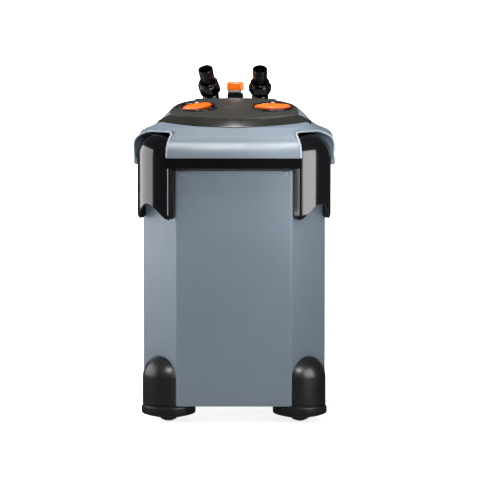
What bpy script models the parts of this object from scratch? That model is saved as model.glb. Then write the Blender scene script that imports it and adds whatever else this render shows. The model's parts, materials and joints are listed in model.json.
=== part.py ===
"""Canister filter for an aquarium.

A square bucket with chamfered corners stands on four domed feet. Its head is held down by four corner
clamps and carries a sloping console with two valve knobs, and a quick-release hose block behind it.
Metres, +Z up, the front faces -Y, and the origin is on the floor under the middle.
"""

import math

import bmesh
import bpy
from mathutils import Matrix, Vector

# Driving dimensions, metres.
GAP = 0.0003
BODY_HALF = 0.110
BODY_CHAMFER = 0.041
BODY_BOTTOM = 0.020
BODY_TOP = 0.305
BODY_WALL = 0.0035
CHAMFER_PLANE = (2 * BODY_HALF - BODY_CHAMFER) / math.sqrt(2)

FOOT_OFFSET = 0.0795
FOOT_RADIUS = 0.0315
FOOT_DISC_RADIUS = 0.0328
FOOT_DISC_TOP = 0.0188
FOOT_DISC_BOTTOM = 0.0092
FOOT_DOME_BASE = 0.051
FOOT_DOME_HEIGHT = 0.0285
FOOT_TIP_RADIUS = 0.0105
FOOT_TOE_RADIUS = 0.0185
FOOT_TOE_TOP = 0.0051
PAD_HEIGHT = 0.0031
PAD_RADIUS = 0.0098

SEAL_TOP = BODY_TOP + 0.0022
HEAD_HALF = 0.1206
BAND_BOTTOM = SEAL_TOP + GAP
BAND_TOP = 0.3197
PLUG_GAP = 0.0022
PLUG_DEPTH = 0.014
PLUG_INSET = BODY_WALL + 0.006
PLUG_ROOF = 0.0035
SEAL_INSET = 0.0006
SEAL_WIDTH = 0.0052
COVER_BOTTOM = BAND_TOP + GAP
COVER_WALL = 0.003
NOTCH_HALF = 0.0275
NOTCH_BACK = 0.124
ARCH_TOP = 0.3506
ARCH_SPRING = 0.325
ARCH_POWER = 5.0
GRIP_ROOT = 0.1015
GRIP_LOW = 0.3095
GRIP_OUTER = HEAD_HALF + 0.0014
GRIP_INNER = 0.1165
GRIP_HALF = 0.059
GRIP_LEG = 0.008
GRIP_RECESS_HALF = 0.060
LUG_HALF = 0.010
LUG_ROOT = 0.105
LUG_MARGIN = 0.0045

CLAMP_HALF = 0.0265
CLAMP_WALL = 0.0026
CLAMP_BACK = CHAMFER_PLANE + 0.0006
CLAMP_FRONT = CHAMFER_PLANE + 0.0215
CLAMP_BOTTOM = 0.246
CLAMP_DOME = 0.0255
CLAMP_ROUND = 2.4
CLAMP_SIDE = 0.0101
CLAMP_EDGE = 0.003
CLAMP_CROWN = 36.6
SCOOP_RADIUS = 0.022
SCOOP_FLATTEN = 0.87
PIVOT_OUT = CHAMFER_PLANE + 0.0085
PIVOT_UP = 0.323
PIN_RADIUS = 0.0024
BORE_RADIUS = PIN_RADIUS + GAP
CATCH_LOW = 0.271
CATCH_HIGH = 0.277
CATCH_HALF = 0.013
CATCH_REACH = 0.006
HOOK_HALF = 0.012
HOOK_THICKNESS = 0.0035
HOOK_PLAY = 0.0015

CONSOLE_SLOPE = math.radians(9.8)
CONSOLE_FRONT = -0.093
ROOF_FRONT = 0.3570
CONSOLE_RISE = 0.0100
CONSOLE_SINK = 0.0120
CONSOLE_WALL = 0.003
CONSOLE_HALF = 0.078
CONSOLE_END = 0.030
CONSOLE_DEPTH = 0.119
CONSOLE_STEPS = 16
TRIM_HALF = 0.093
TRIM_END = 0.037
TRIM_RISE = 0.0086
TRIM_PROUD = 0.003
SEAM = 0.0005
DISH_X = 0.046
DISH_Y = 0.063
DISH_RADIUS = 0.0250
DISH_RIM = 0.0118
KNOB_LENGTH = 0.045
KNOB_WIDTH = 0.022
SPINDLE_RADIUS = 0.0045
DISH_BORE = 0.0055
ROTOR_RADIUS = 0.0125
ROTOR_TOP = -0.0025
ROTOR_LOW = -0.0105
LEFT_KNOB_TURN = math.radians(42)

BLOCK_HALF = 0.050
BLOCK_FRONT = 0.034
BLOCK_BACK = 0.070
BLOCK_LOW = 0.371
BLOCK_TOP = 0.3845
BLOCK_ROOM = 0.001
LEVER_Y = 0.044
LEVER_PIVOT = 0.3805
LEVER_PIN_RADIUS = 0.0018
LEVER_SLOT_HALF = 0.0110
LEVER_SLOT_REACH = 0.0064
LEVER_PIN_HALF = 0.0142
LEVER_BORE_HALF = 0.0145
ARM_HALF = 0.0092
ARM_DEPTH = 0.0040
ARM_TOP = 0.0150
CAP_HALF = 0.0104
CAP_DEPTH = 0.0056
PORT_X = 0.0305
PORT_Y = 0.052
TAIL_LEAN = math.radians(33)
LEFT_TAIL_TURN = math.radians(-17)
PIPE_SIDES = 16
PIPE_BORE = 0.0056
PORT_BORE = 0.0083
NUT_RADIUS = 0.0137
NUT_LOW = -0.0032
NUT_TOP = 0.0140
TAIL_RADIUS = 0.0090
TAIL_ROOT = 0.0080
TAIL_TOP = 0.0335
TUBE_RADIUS = 0.0105
TUBE_BORE = 0.0075
TUBE_LOW = 0.3205
TUBE_TOP = 0.3682
PORT_SEAL_LOW = TUBE_TOP + GAP

MOTOR_RADIUS = 0.037
MOTOR_TOP = 0.349
MOTOR_LOW = 0.292
MAGNET_BORE = 0.0145
MAGNET_RADIUS = 0.0125
SHAFT_RADIUS = 0.0023
BUSH_BORE = 0.0026
TOP_BUSH_RADIUS = 0.0056
LOW_BUSH_RADIUS = 0.0050
VOLUTE_RADIUS = 0.030
VOLUTE_LOW = 0.267
VOLUTE_TOP = 0.2915
BLADES = 6
RISER_AT = 0.073
RISER_RADIUS = 0.011
BASKET_FLOOR = 0.030
BASKET_PITCH = 0.082
BASKET_INSET = BODY_WALL + 0.002
BASKET_WALL = 0.0025
BASKET_STEP = 0.0015
BASKET_TOP = 0.262
MEDIA_GAP = 0.001
MEDIA_HEADROOM = 0.006
RISER_WALL = 0.002
RISER_LOW = 0.029
RISER_TOP = 0.3135
GLAND_X = 0.045
GLAND_Y = 0.1035
GLAND_UP = 0.331
GLAND_HOLE = 0.0074

CORNERS = {"front_left": 225, "front_right": 315, "back_right": 45, "back_left": 135}
SIDES = {"left": -1, "right": 1}


def empty_file():
    """Removes the scene's objects and makes the two collections."""
    for item in list(bpy.data.objects):
        bpy.data.objects.remove(item, do_unlink=True)
    parts = bpy.data.collections.new("canister_filter")
    cutters = bpy.data.collections.new("cutters")
    bpy.context.scene.collection.children.link(parts)
    bpy.context.scene.collection.children.link(cutters)
    return parts, cutters


PARTS, CUTTERS = empty_file()


def finish(name, colour, roughness, metallic=0.0):
    """A Principled material."""
    material = bpy.data.materials.new(name)
    material.use_nodes = True
    shader = material.node_tree.nodes["Principled BSDF"]
    shader.inputs["Base Color"].default_value = (*colour, 1)
    shader.inputs["Roughness"].default_value = roughness
    shader.inputs["Metallic"].default_value = metallic
    return material


GREY = finish("grey_plastic", (0.135, 0.165, 0.200), 0.45)
PALE = finish("head_plastic", (0.230, 0.290, 0.350), 0.38)
GLOSS = finish("gloss_black", (0.008, 0.008, 0.009), 0.14)
SATIN = finish("satin_black", (0.020, 0.020, 0.021), 0.42)
OLIVE = finish("console_plastic", (0.060, 0.060, 0.054), 0.36)
DISH = finish("dish_black", (0.012, 0.012, 0.013), 0.06)
ORANGE = finish("orange_plastic", (0.960, 0.260, 0.010), 0.30)
RUBBER = finish("rubber", (0.020, 0.020, 0.020), 0.85)
STEEL = finish("steel", (0.620, 0.620, 0.640), 0.25, 1.0)
CERAMIC = finish("ceramic", (0.850, 0.840, 0.800), 0.30)
BASKET = finish("basket_plastic", (0.100, 0.105, 0.110), 0.50)
SPONGE = finish("sponge", (0.050, 0.090, 0.160), 0.95)
FLEECE = finish("fleece", (0.850, 0.850, 0.830), 0.95)
BIO = finish("bio_block", (0.560, 0.480, 0.380), 0.90)


def place(name, mesh, material, collection=PARTS, parent=None):
    """An object around a mesh, in the parts unless another collection is given."""
    item = bpy.data.objects.new(name, mesh)
    collection.objects.link(item)
    if material is not None and not mesh.materials:
        mesh.materials.append(material)
    item.parent = parent
    if collection is CUTTERS:
        item.hide_render = True
        item.display_type = "WIRE"
    return item


def from_bmesh(name, shape):
    """Turns a bmesh into a mesh, with its faces facing out."""
    bmesh.ops.recalc_face_normals(shape, faces=shape.faces)
    mesh = bpy.data.meshes.new(name)
    shape.to_mesh(mesh)
    shape.free()
    return mesh


def prism_into(shape, outline, low, high):
    """Adds an extruded outline of (x, y) points to a bmesh."""
    base = shape.faces.new([shape.verts.new((x, y, low)) for x, y in outline])
    raised = bmesh.ops.extrude_face_region(shape, geom=[base])
    moved = [item for item in raised["geom"] if isinstance(item, bmesh.types.BMVert)]
    bmesh.ops.translate(shape, vec=(0, 0, high - low), verts=moved)


def prism(name, outline, low, high):
    """A mesh of one extruded outline."""
    shape = bmesh.new()
    prism_into(shape, outline, low, high)
    return from_bmesh(name, shape)


def boxes(name, spans):
    """A mesh of boxes, each given by its low and its high corner."""
    shape = bmesh.new()
    for low, high in spans:
        size = Vector(high) - Vector(low)
        middle = (Vector(high) + Vector(low)) / 2
        matrix = Matrix.Translation(middle) @ Matrix.Diagonal((*size, 1))
        bmesh.ops.create_cube(shape, size=1, matrix=matrix)
    return from_bmesh(name, shape)


def drum(name, radius, low, high, segments=32, turn=None):
    """A plain cylinder along Z, or along the axis that the matrix turns Z into."""
    shape = bmesh.new()
    matrix = Matrix.Translation((0, 0, (low + high) / 2))
    if turn is not None:
        matrix = turn @ matrix
    bmesh.ops.create_cone(shape, cap_ends=True, segments=segments, radius1=radius, radius2=radius,
                          depth=high - low, matrix=matrix)
    return from_bmesh(name, shape)


def loft(name, rings):
    """A closed skin over rings that have the same number of points, capped at both ends."""
    shape = bmesh.new()
    rows = [[shape.verts.new(point) for point in ring] for ring in rings]
    count = len(rows[0])
    for lower, upper in zip(rows, rows[1:]):
        for i in range(count):
            j = (i + 1) % count
            shape.faces.new((lower[i], lower[j], upper[j], upper[i]))
    shape.faces.new(rows[0])
    shape.faces.new(rows[-1])
    return from_bmesh(name, shape)


def turned(name, profile, material, steps=32, closed=False, parent=None, collection=PARTS):
    """A turned shape: the (radius, height) profile runs down its outer side."""
    mesh = bpy.data.meshes.new(name)
    edges = [(i, i + 1) for i in range(len(profile) - 1)]
    if closed:
        edges.append((len(profile) - 1, 0))
    mesh.from_pydata([(r, 0, z) for r, z in profile], edges, [])
    item = place(name, mesh, material, collection, parent)
    screw = item.modifiers.new("turn", "SCREW")
    screw.steps = steps
    screw.render_steps = steps
    screw.use_merge_vertices = True
    screw.merge_threshold = 0.00001
    return item


def boolean(item, other, operation="DIFFERENCE"):
    """Cuts an object with another one, or joins them."""
    step = item.modifiers.new(operation.lower(), "BOOLEAN")
    step.operation = operation
    step.solver = "EXACT"
    step.object = other


def cutter(name, mesh, parent=None):
    """An object that only cuts or joins."""
    return place(name, mesh, None, CUTTERS, parent)


def settled(item):
    """The mesh of an object after its modifiers, for copies; the object is removed."""
    bpy.context.view_layer.update()
    graph = bpy.context.evaluated_depsgraph_get()
    mesh = bpy.data.meshes.new_from_object(item.evaluated_get(graph))
    bpy.data.objects.remove(item, do_unlink=True)
    return mesh


def octagon(half, leg):
    """A square with its corners cut off."""
    near = half - leg
    points = [(half, -near), (half, near), (near, half), (-near, half)]
    return points + [(-x, -y) for x, y in points]


def inset_octagon(by):
    """The body's outline moved inwards, or outwards where the distance is negative."""
    return octagon(BODY_HALF - by, BODY_CHAMFER - by * (2 - math.sqrt(2)))


def squircle(half_x, half_y, power, start, stop, count):
    """Points on a superellipse between two angles, in degrees."""
    points = []
    for i in range(count + 1):
        angle = math.radians(start + (stop - start) * i / count)
        c, s = math.cos(angle), math.sin(angle)
        x = half_x * math.copysign(abs(c) ** (2 / power), c)
        y = half_y * math.copysign(abs(s) ** (2 / power), s)
        points.append((x, y))
    return points


def arc(centre, radius, start, stop, steps):
    """Points on an arc, angles in degrees."""
    angles = [math.radians(start + (stop - start) * i / steps) for i in range(steps + 1)]
    return [(centre[0] + radius * math.cos(a), centre[1] + radius * math.sin(a)) for a in angles]


def bow(half, sagitta, count):
    """Points on a shallow arc from (-half, sagitta) through (0, 0) to (half, sagitta)."""
    radius = (half ** 2 + sagitta ** 2) / (2 * sagitta)
    reach = math.asin(half / radius)
    angles = [reach * (2 * i / count - 1) for i in range(count + 1)]
    return [(radius * math.sin(a), radius - radius * math.cos(a)) for a in angles]


def corner_frame(name, degrees, out=0.0, up=0.0):
    """An empty at a corner: its Y points outwards along the diagonal, its X along the chamfer."""
    frame = bpy.data.objects.new(name, None)
    PARTS.objects.link(frame)
    angle = math.radians(degrees)
    frame.location = (out * math.cos(angle), out * math.sin(angle), up)
    frame.rotation_euler = (0, 0, angle - math.pi / 2)
    return frame


def corner_boxes(name, span):
    """The same box at each of the four corners, in the corner's own directions."""
    shape = bmesh.new()
    low, high = Vector(span[0]), Vector(span[1])
    for degrees in CORNERS.values():
        spin = Matrix.Rotation(math.radians(degrees - 90), 4, "Z")
        matrix = spin @ Matrix.Translation((low + high) / 2) @ Matrix.Diagonal((*(high - low), 1))
        bmesh.ops.create_cube(shape, size=1, matrix=matrix)
    return from_bmesh(name, shape)


def canister_body():
    """The bucket, open at the top, with a catch for each clamp."""
    body = place("canister_body", prism("canister_body", inset_octagon(0), BODY_BOTTOM, BODY_TOP), GREY)
    hollow = prism("bucket_hollow", inset_octagon(BODY_WALL), BODY_BOTTOM + BODY_WALL, BODY_TOP + 0.01)
    boolean(body, cutter("bucket_hollow", hollow))
    root, tip = CHAMFER_PLANE - BODY_WALL / 2, CHAMFER_PLANE + CATCH_REACH
    catches = corner_boxes("catches", ((-CATCH_HALF, root, CATCH_LOW), (CATCH_HALF, tip, CATCH_HIGH)))
    boolean(body, cutter("catches", catches), "UNION")


def feet():
    """Four domed feet around the bucket's lower corners, each with a rubber pad."""
    clearance = prism("foot_clearance", inset_octagon(-GAP), BODY_BOTTOM - GAP, 0.12)
    clearance_cutter = cutter("foot_clearance", clearance)
    dome = [(FOOT_RADIUS * math.sin(a), FOOT_DOME_BASE + FOOT_DOME_HEIGHT * math.cos(a))
            for a in [math.radians(15 * i) for i in range(7)]]
    skirt = [(FOOT_RADIUS, FOOT_DISC_TOP), (FOOT_DISC_RADIUS, FOOT_DISC_TOP),
             (FOOT_DISC_RADIUS, FOOT_DISC_BOTTOM), (FOOT_TOE_RADIUS, FOOT_TOE_TOP),
             (FOOT_TIP_RADIUS, PAD_HEIGHT + GAP), (0, PAD_HEIGHT + GAP)]
    for corner, degrees in CORNERS.items():
        angle = math.radians(degrees)
        x = math.copysign(FOOT_OFFSET, math.cos(angle))
        y = math.copysign(FOOT_OFFSET, math.sin(angle))
        foot = turned(f"foot_{corner}", [(0, dome[0][1])] + dome[1:] + skirt, SATIN, 24)
        foot.location = (x, y, 0)
        boolean(foot, clearance_cutter)
        pad = place(f"foot_pad_{corner}", drum("foot_pad", PAD_RADIUS, 0, PAD_HEIGHT, 20), RUBBER)
        pad.location = (x, y, 0)


def clamp_section(shrink):
    """The clamp's section as (u, n): straight sides, tight shoulders and a crowned front."""
    centre = (CLAMP_HALF - CLAMP_EDGE, CLAMP_SIDE)
    shoulder = arc(centre, CLAMP_EDGE - shrink, 0, 90 - CLAMP_CROWN, 3)
    reach, height = shoulder[-1]
    slope = math.radians(CLAMP_CROWN)
    radius = reach / math.sin(slope)
    drop = radius * math.cos(slope) - height
    crown = [(radius * math.sin(slope * (1 - i / 3)), radius * math.cos(slope * (1 - i / 3)) - drop)
             for i in range(1, 4)]
    right = shoulder + crown
    return right + [(-u, n) for u, n in right[-2::-1]]


def clamp_skin(name, shrink, back, bottom):
    """A solid of the clamp's outside, shrunk by a wall; the origin is on the pivot."""
    section = clamp_section(shrink)
    deep = max(n for _, n in section)
    dome = CLAMP_DOME - shrink
    base = CLAMP_BACK - PIVOT_OUT
    rings = []
    for share in (None, 0, 0.35, 0.6, 0.78, 0.9, 0.97):
        height = bottom if share is None else dome * share
        up = share or 0
        narrow = (1 - up ** CLAMP_ROUND) ** (1 / CLAMP_ROUND)
        front = deep * math.sqrt(1 - up ** 2)
        side = max(front - deep + CLAMP_SIDE, CLAMP_EDGE / 5)
        ring = [(u * narrow, base + side + (n - CLAMP_SIDE) * (front - side) / (deep - CLAMP_SIDE), height)
                for u, n in section]
        edge = section[0][0] * narrow
        ring += [(-edge, back, height), (edge, back, height)]
        rings.append(ring)
    return loft(name, rings)


def clamps():
    """Four hollow corner clamps that turn on pins in the head and hook under the bucket's catches."""
    back = CLAMP_BACK - PIVOT_OUT - 0.0001
    bottom = CLAMP_BOTTOM - PIVOT_UP
    shell = place("clamp_shell", clamp_skin("clamp_shell", 0, back, bottom), GLOSS)
    hollow = clamp_skin("clamp_hollow", CLAMP_WALL, back - 0.01, bottom - 0.01)
    boolean(shell, cutter("clamp_hollow", hollow))
    flatten = Matrix.Diagonal((1, 1, SCOOP_FLATTEN, 1))
    scoop_turn = Matrix.Translation((0, 0, bottom)) @ flatten @ Matrix.Rotation(math.radians(-90), 4, "X")
    boolean(shell, cutter("clamp_scoop", drum("clamp_scoop", SCOOP_RADIUS, -0.004, 0.03, 24, scoop_turn)))
    hook_top = CATCH_LOW - PIVOT_UP - HOOK_PLAY
    hook = boxes("clamp_hook", [((-HOOK_HALF, back + 0.001, hook_top - HOOK_THICKNESS),
                                 (HOOK_HALF, CLAMP_FRONT - PIVOT_OUT - CLAMP_WALL / 2, hook_top))])
    boolean(shell, cutter("clamp_hook", hook), "UNION")
    across = Matrix.Rotation(math.radians(90), 4, "Y")
    boolean(shell, cutter("clamp_bore", drum("clamp_bore", BORE_RADIUS, -0.04, 0.04, 16, across)))
    mesh = settled(shell)
    pin = drum("clamp_pin", PIN_RADIUS, -CLAMP_HALF + 0.0004, CLAMP_HALF - 0.0004, 16, across)
    for corner, degrees in CORNERS.items():
        frame = corner_frame(f"clamp_frame_{corner}", degrees, PIVOT_OUT, PIVOT_UP)
        place(f"clamp_{corner}", mesh, GLOSS, parent=frame)
        place(f"clamp_pin_{corner}", pin, STEEL, parent=frame)


def head_outline(half, margin=0.0):
    """A square with a notch at each corner for a clamp."""
    side = NOTCH_HALF + margin
    back = NOTCH_BACK - margin
    root = math.sqrt(0.5)
    corner = [(half, half - side / root), ((back + side) * root, (back - side) * root),
              ((back - side) * root, (back + side) * root), (half - side / root, half)]
    points = []
    for quarter in range(4):
        spin = Matrix.Rotation(math.radians(90 * quarter), 2)
        points += [tuple(spin @ Vector(point)) for point in corner]
    return points


def head_base():
    """The black lower plate of the head, its plug in the bucket's mouth and the clamps' lugs."""
    base = place("head_base", prism("head_base", head_outline(HEAD_HALF), BAND_BOTTOM, BAND_TOP), SATIN)
    plug = prism("plug", inset_octagon(BODY_WALL + PLUG_GAP), BAND_BOTTOM - PLUG_DEPTH,
                 BAND_BOTTOM + PLUG_GAP)
    boolean(base, cutter("plug", plug), "UNION")
    plug_hollow = prism("plug_hollow", inset_octagon(PLUG_INSET), BAND_BOTTOM - 2 * PLUG_DEPTH,
                        BAND_BOTTOM + PLUG_ROOF)
    boolean(base, cutter("plug_hollow", plug_hollow))
    span = GRIP_RECESS_HALF
    side_recess = boxes("side_recess", [((-0.130, -span, 0.295), (-GRIP_ROOT, span, 0.330)),
                                        ((GRIP_ROOT, -span, 0.295), (0.130, span, 0.330))])
    boolean(base, cutter("side_recess", side_recess))
    lugs = corner_boxes("lugs", ((-LUG_HALF, LUG_ROOT, BAND_BOTTOM + 0.004),
                                 (LUG_HALF, PIVOT_OUT + LUG_MARGIN, PIVOT_UP + LUG_MARGIN)))
    boolean(base, cutter("lugs", lugs), "UNION")
    bores = bmesh.new()
    for degrees in CORNERS.values():
        spin = Matrix.Rotation(math.radians(degrees - 90), 4, "Z")
        turn = spin @ Matrix.Translation((0, PIVOT_OUT, PIVOT_UP)) @ Matrix.Rotation(math.pi / 2, 4, "Y")
        bmesh.ops.create_cone(bores, cap_ends=True, segments=16, radius1=BORE_RADIUS,
                              radius2=BORE_RADIUS, depth=0.04, matrix=turn)
    boolean(base, cutter("lug_bores", from_bmesh("lug_bores", bores)))
    boolean(base, cutter("motor_well", drum("motor_well", MOTOR_RADIUS + GAP, 0.28, 0.33, 24)))
    riser_turn = Matrix.Translation((-RISER_AT, RISER_AT, 0))
    boolean(base, cutter("riser_hole", drum("riser_hole", RISER_RADIUS + GAP, 0.28, 0.314, 24, riser_turn)))


def head_seal():
    """The flat ring between the bucket's rim and the head."""
    ring = prism("head_seal", inset_octagon(SEAL_INSET), BODY_TOP + GAP, SEAL_TOP)
    seal = place("head_seal", ring, RUBBER)
    boolean(seal, cutter("seal_hole", prism("seal_hole", inset_octagon(SEAL_WIDTH), 0.30, 0.31)))


def side_grips():
    """A grip bar on each side of the head, with room for fingers behind it."""
    root, half, leg = GRIP_ROOT + GAP, GRIP_HALF, GRIP_LEG
    for side, sign in SIDES.items():
        bar = [(root, -half), (GRIP_OUTER, -half), (GRIP_OUTER, half), (root, half), (root, half - leg),
               (GRIP_INNER, half - leg), (GRIP_INNER, leg - half), (root, leg - half)]
        outline = [(sign * x, y) for x, y in bar]
        place(f"side_grip_{side}", prism("side_grip", outline, GRIP_LOW, BAND_TOP), PALE)


def cover_ring(half, radius, height):
    """A rounded square."""
    points = []
    for quarter in range(4):
        for step in range(7):
            angle = math.radians(90 * quarter + 15 * step)
            centre = half - radius
            x = math.copysign(centre, math.cos(math.radians(90 * quarter + 45)))
            y = math.copysign(centre, math.sin(math.radians(90 * quarter + 45)))
            points.append((x + radius * math.cos(angle), y + radius * math.sin(angle), height))
    return points


def console_frame():
    """An empty on the roof's front edge, tilted with the console."""
    frame = bpy.data.objects.new("console_frame", None)
    PARTS.objects.link(frame)
    frame.location = (0, CONSOLE_FRONT, ROOF_FRONT)
    frame.rotation_euler = (CONSOLE_SLOPE, 0, 0)
    return frame


def outset(outline, distance):
    """The same outline, with each side moved outwards, or inwards where the distance is negative."""
    points = [Vector(point) for point in outline]
    moved = []
    for before, point, after in zip(points[-1:] + points[:-1], points, points[1:] + points[:1]):
        one = (point - before).normalized()
        two = (after - point).normalized()
        first, second = Vector((one.y, -one.x)), Vector((two.y, -two.x))
        middle = (first + second).normalized()
        moved.append(tuple(point + middle * distance / max(middle.dot(first), 0.5)))
    return moved


def console_outline():
    """The console's plan: a shallow bow in front and a full round back."""
    front = bow(CONSOLE_HALF, CONSOLE_END, CONSOLE_STEPS)
    back = squircle(CONSOLE_HALF, CONSOLE_DEPTH - CONSOLE_END, 2.6, 0, 180, 18)
    return front + [(x, y + CONSOLE_END) for x, y in back[1:-1]]


def trim_outline():
    """The plan of the crescent in front of the console, closed behind its horns."""
    front = [(x, y - TRIM_PROUD) for x, y in bow(TRIM_HALF, TRIM_END, CONSOLE_STEPS)]
    inner = CONSOLE_HALF - 0.004
    return front + [(inner, TRIM_END + 0.004), (-inner, TRIM_END + 0.004)]


def head_cover(frame):
    """The grey shell of the head, arched over each clamp and flat where the console sits."""
    rows = [(HEAD_HALF, 0.040, COVER_BOTTOM), (HEAD_HALF + 0.0008, 0.040, 0.3365),
            (HEAD_HALF - 0.0010, 0.040, 0.3415), (0.1155, 0.040, 0.3457), (0.1040, 0.040, 0.3508),
            (0.0925, 0.038, 0.3590), (0.0848, 0.034, 0.3680), (0.0735, 0.030, 0.3775),
            (0.0660, 0.026, 0.3805)]
    shape = bmesh.new()
    rings = [[shape.verts.new(point) for point in cover_ring(*row)] for row in rows]
    count = len(rings[0])
    for lower, upper in zip(rings, rings[1:]):
        for i in range(count):
            j = (i + 1) % count
            shape.faces.new((lower[i], lower[j], upper[j], upper[i]))
    shape.faces.new(rings[-1])
    tilt = Matrix.Rotation(CONSOLE_SLOPE, 4, "X")
    cut = bmesh.ops.bisect_plane(shape, geom=shape.verts[:] + shape.edges[:] + shape.faces[:],
                                 plane_co=(0, CONSOLE_FRONT, ROOF_FRONT), plane_no=tilt @ Vector((0, 0, 1)),
                                 clear_outer=True)
    rim = [item for item in cut["geom_cut"] if isinstance(item, bmesh.types.BMEdge)]
    bmesh.ops.contextual_create(shape, geom=rim)
    cover = place("head_cover", from_bmesh("head_cover", shape), PALE)
    shell = cover.modifiers.new("wall", "SOLIDIFY")
    shell.thickness = COVER_WALL
    shell.offset = -1
    shell.use_even_offset = True
    arches = bmesh.new()
    arch = [(-NOTCH_HALF, 0.30), (NOTCH_HALF, 0.30)]
    arch += [(x, ARCH_SPRING + y) for x, y in
             squircle(NOTCH_HALF, ARCH_TOP - ARCH_SPRING, ARCH_POWER, 0, 180, 18)]
    for degrees in CORNERS.values():
        spin = Matrix.Rotation(math.radians(degrees - 90), 4, "Z")
        stand = Matrix.Rotation(math.radians(90), 4, "X")
        piece = bmesh.new()
        prism_into(piece, arch, -0.19, -0.09)
        piece.transform(spin @ stand)
        sheet = bpy.data.meshes.new("arch")
        piece.to_mesh(sheet)
        piece.free()
        arches.from_mesh(sheet)
    boolean(cover, cutter("arches", from_bmesh("arches", arches)))
    for name, outline in (("console_hole", console_outline()), ("trim_hole", trim_outline())):
        boolean(cover, cutter(name, prism(name, outset(outline, SEAM), -0.05, 0.05), frame))
    wide = BLOCK_HALF + BLOCK_ROOM
    block_hole = boxes("block_hole", [((-wide, BLOCK_FRONT - BLOCK_ROOM, 0.35),
                                       (wide, BLOCK_BACK + BLOCK_ROOM, 0.40))])
    boolean(cover, cutter("block_hole", block_hole))
    gland_turn = Matrix.Translation((GLAND_X, 0, GLAND_UP)) @ Matrix.Rotation(math.radians(-90), 4, "X")
    boolean(cover, cutter("gland_hole", drum("gland_hole", GLAND_HOLE, 0.10, 0.14, 20, gland_turn)))


def crescent():
    """The sloping wall in front of the console, which runs out into two horns."""
    outer = [(x, y - TRIM_PROUD) for x, y in bow(TRIM_HALF, TRIM_END, CONSOLE_STEPS)]
    inner = outset(console_outline(), GAP)[:CONSOLE_STEPS + 1]
    rings = []
    for (x, y), (inner_x, inner_y) in zip(outer, inner):
        points = [(inner_x, inner_y, -CONSOLE_SINK), (inner_x, inner_y, TRIM_RISE)]
        for share in (0.4, 0.8):
            points.append((inner_x + (x - inner_x) * share, inner_y + (y - inner_y) * share,
                           TRIM_RISE * (1 - share)))
        points += [(x, y, 0), (x, y, -CONSOLE_SINK)]
        rings.append(points)
    return loft("console_trim", rings)


def console(frame):
    """The dark console, a hollow cap with a round hole for each valve dish."""
    top = place("console", prism("console", console_outline(), -CONSOLE_SINK, CONSOLE_RISE), OLIVE,
                parent=frame)
    hollow = prism("console_hollow", outset(console_outline(), -CONSOLE_WALL), -CONSOLE_SINK - 0.005,
                   CONSOLE_RISE - CONSOLE_WALL)
    boolean(top, cutter("console_hollow", hollow, frame))
    place("console_trim", crescent(), OLIVE, parent=frame)
    for side, sign in SIDES.items():
        at = Matrix.Translation((sign * DISH_X, DISH_Y, 0))
        hole = drum("dish_hole", DISH_RADIUS + GAP, -0.005, 0.03, 28, at)
        boolean(top, cutter(f"dish_hole_{side}", hole, frame))


def valves(frame):
    """In each dish a knob with its spindle and rotor."""
    for side, sign in SIDES.items():
        pivot = bpy.data.objects.new(f"valve_axis_{side}", None)
        PARTS.objects.link(pivot)
        pivot.parent = frame
        pivot.location = (sign * DISH_X, DISH_Y, 0)
        bowl = [(DISH_RADIUS - 0.0015, DISH_RIM), (DISH_RADIUS, DISH_RIM - 0.0012), (DISH_RADIUS, 0.0015),
                (DISH_RADIUS - 0.005, -0.0015), (DISH_BORE, -0.0015), (DISH_BORE, 0.0005),
                (DISH_RADIUS - 0.007, 0.0010), (DISH_RADIUS - 0.0028, 0.0045)]
        turned(f"valve_dish_{side}", bowl, DISH, 28, closed=True, parent=pivot)
        rings = []
        for height, share in ((0.0016, 0.62), (0.0055, 0.84), (0.0090, 0.98), (0.0115, 0.95),
                              (0.0132, 0.76), (0.0141, 0.45)):
            leaf = leaf_outline(KNOB_LENGTH / 2 * share, KNOB_WIDTH / 2 * share)
            rings.append([(x, y, height) for x, y in leaf])
        knob = place(f"valve_knob_{side}", loft("valve_knob", rings), ORANGE, parent=pivot)
        knob.rotation_euler = (0, 0, LEFT_KNOB_TURN if side == "left" else 0)
        spindle = [(0, 3 * GAP), (SPINDLE_RADIUS, 3 * GAP), (SPINDLE_RADIUS, ROTOR_TOP),
                   (ROTOR_RADIUS, ROTOR_TOP), (ROTOR_RADIUS, ROTOR_LOW), (0, ROTOR_LOW)]
        turned(f"valve_rotor_{side}", spindle, SATIN, 24, parent=pivot)


def leaf_outline(half_length, half_width):
    """A lens with softened tips, along X."""
    points = []
    for i in range(20):
        angle = 2 * math.pi * i / 20
        c, s = math.cos(angle), math.sin(angle)
        points.append((half_length * c, half_width * math.copysign(abs(s) ** 1.25, s)))
    return points


def hose_block():
    """The quick-release block behind the console, with a slot for the lever and two bores."""
    block = place("hose_block", boxes("hose_block", [((-BLOCK_HALF, BLOCK_FRONT, BLOCK_LOW),
                                                      (BLOCK_HALF, BLOCK_BACK, BLOCK_TOP))]), GLOSS)
    front, floor = LEVER_Y - LEVER_SLOT_REACH, LEVER_PIVOT - LEVER_SLOT_REACH
    slot = boxes("lever_slot", [((-LEVER_SLOT_HALF, front, floor),
                                 (LEVER_SLOT_HALF, BLOCK_BACK + 0.001, BLOCK_TOP + 0.01))])
    boolean(block, cutter("lever_slot", slot))
    across = Matrix.Translation((0, LEVER_Y, LEVER_PIVOT)) @ Matrix.Rotation(math.pi / 2, 4, "Y")
    bore = drum("lever_bore", LEVER_PIN_RADIUS + GAP, -LEVER_BORE_HALF, LEVER_BORE_HALF, 16, across)
    boolean(block, cutter("lever_bore", bore))
    for side, sign in SIDES.items():
        at = Matrix.Translation((sign * PORT_X, PORT_Y, 0))
        boolean(block, cutter(f"port_bore_{side}", drum("port_bore", PORT_BORE, 0.36, 0.40, 24, at)))


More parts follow.
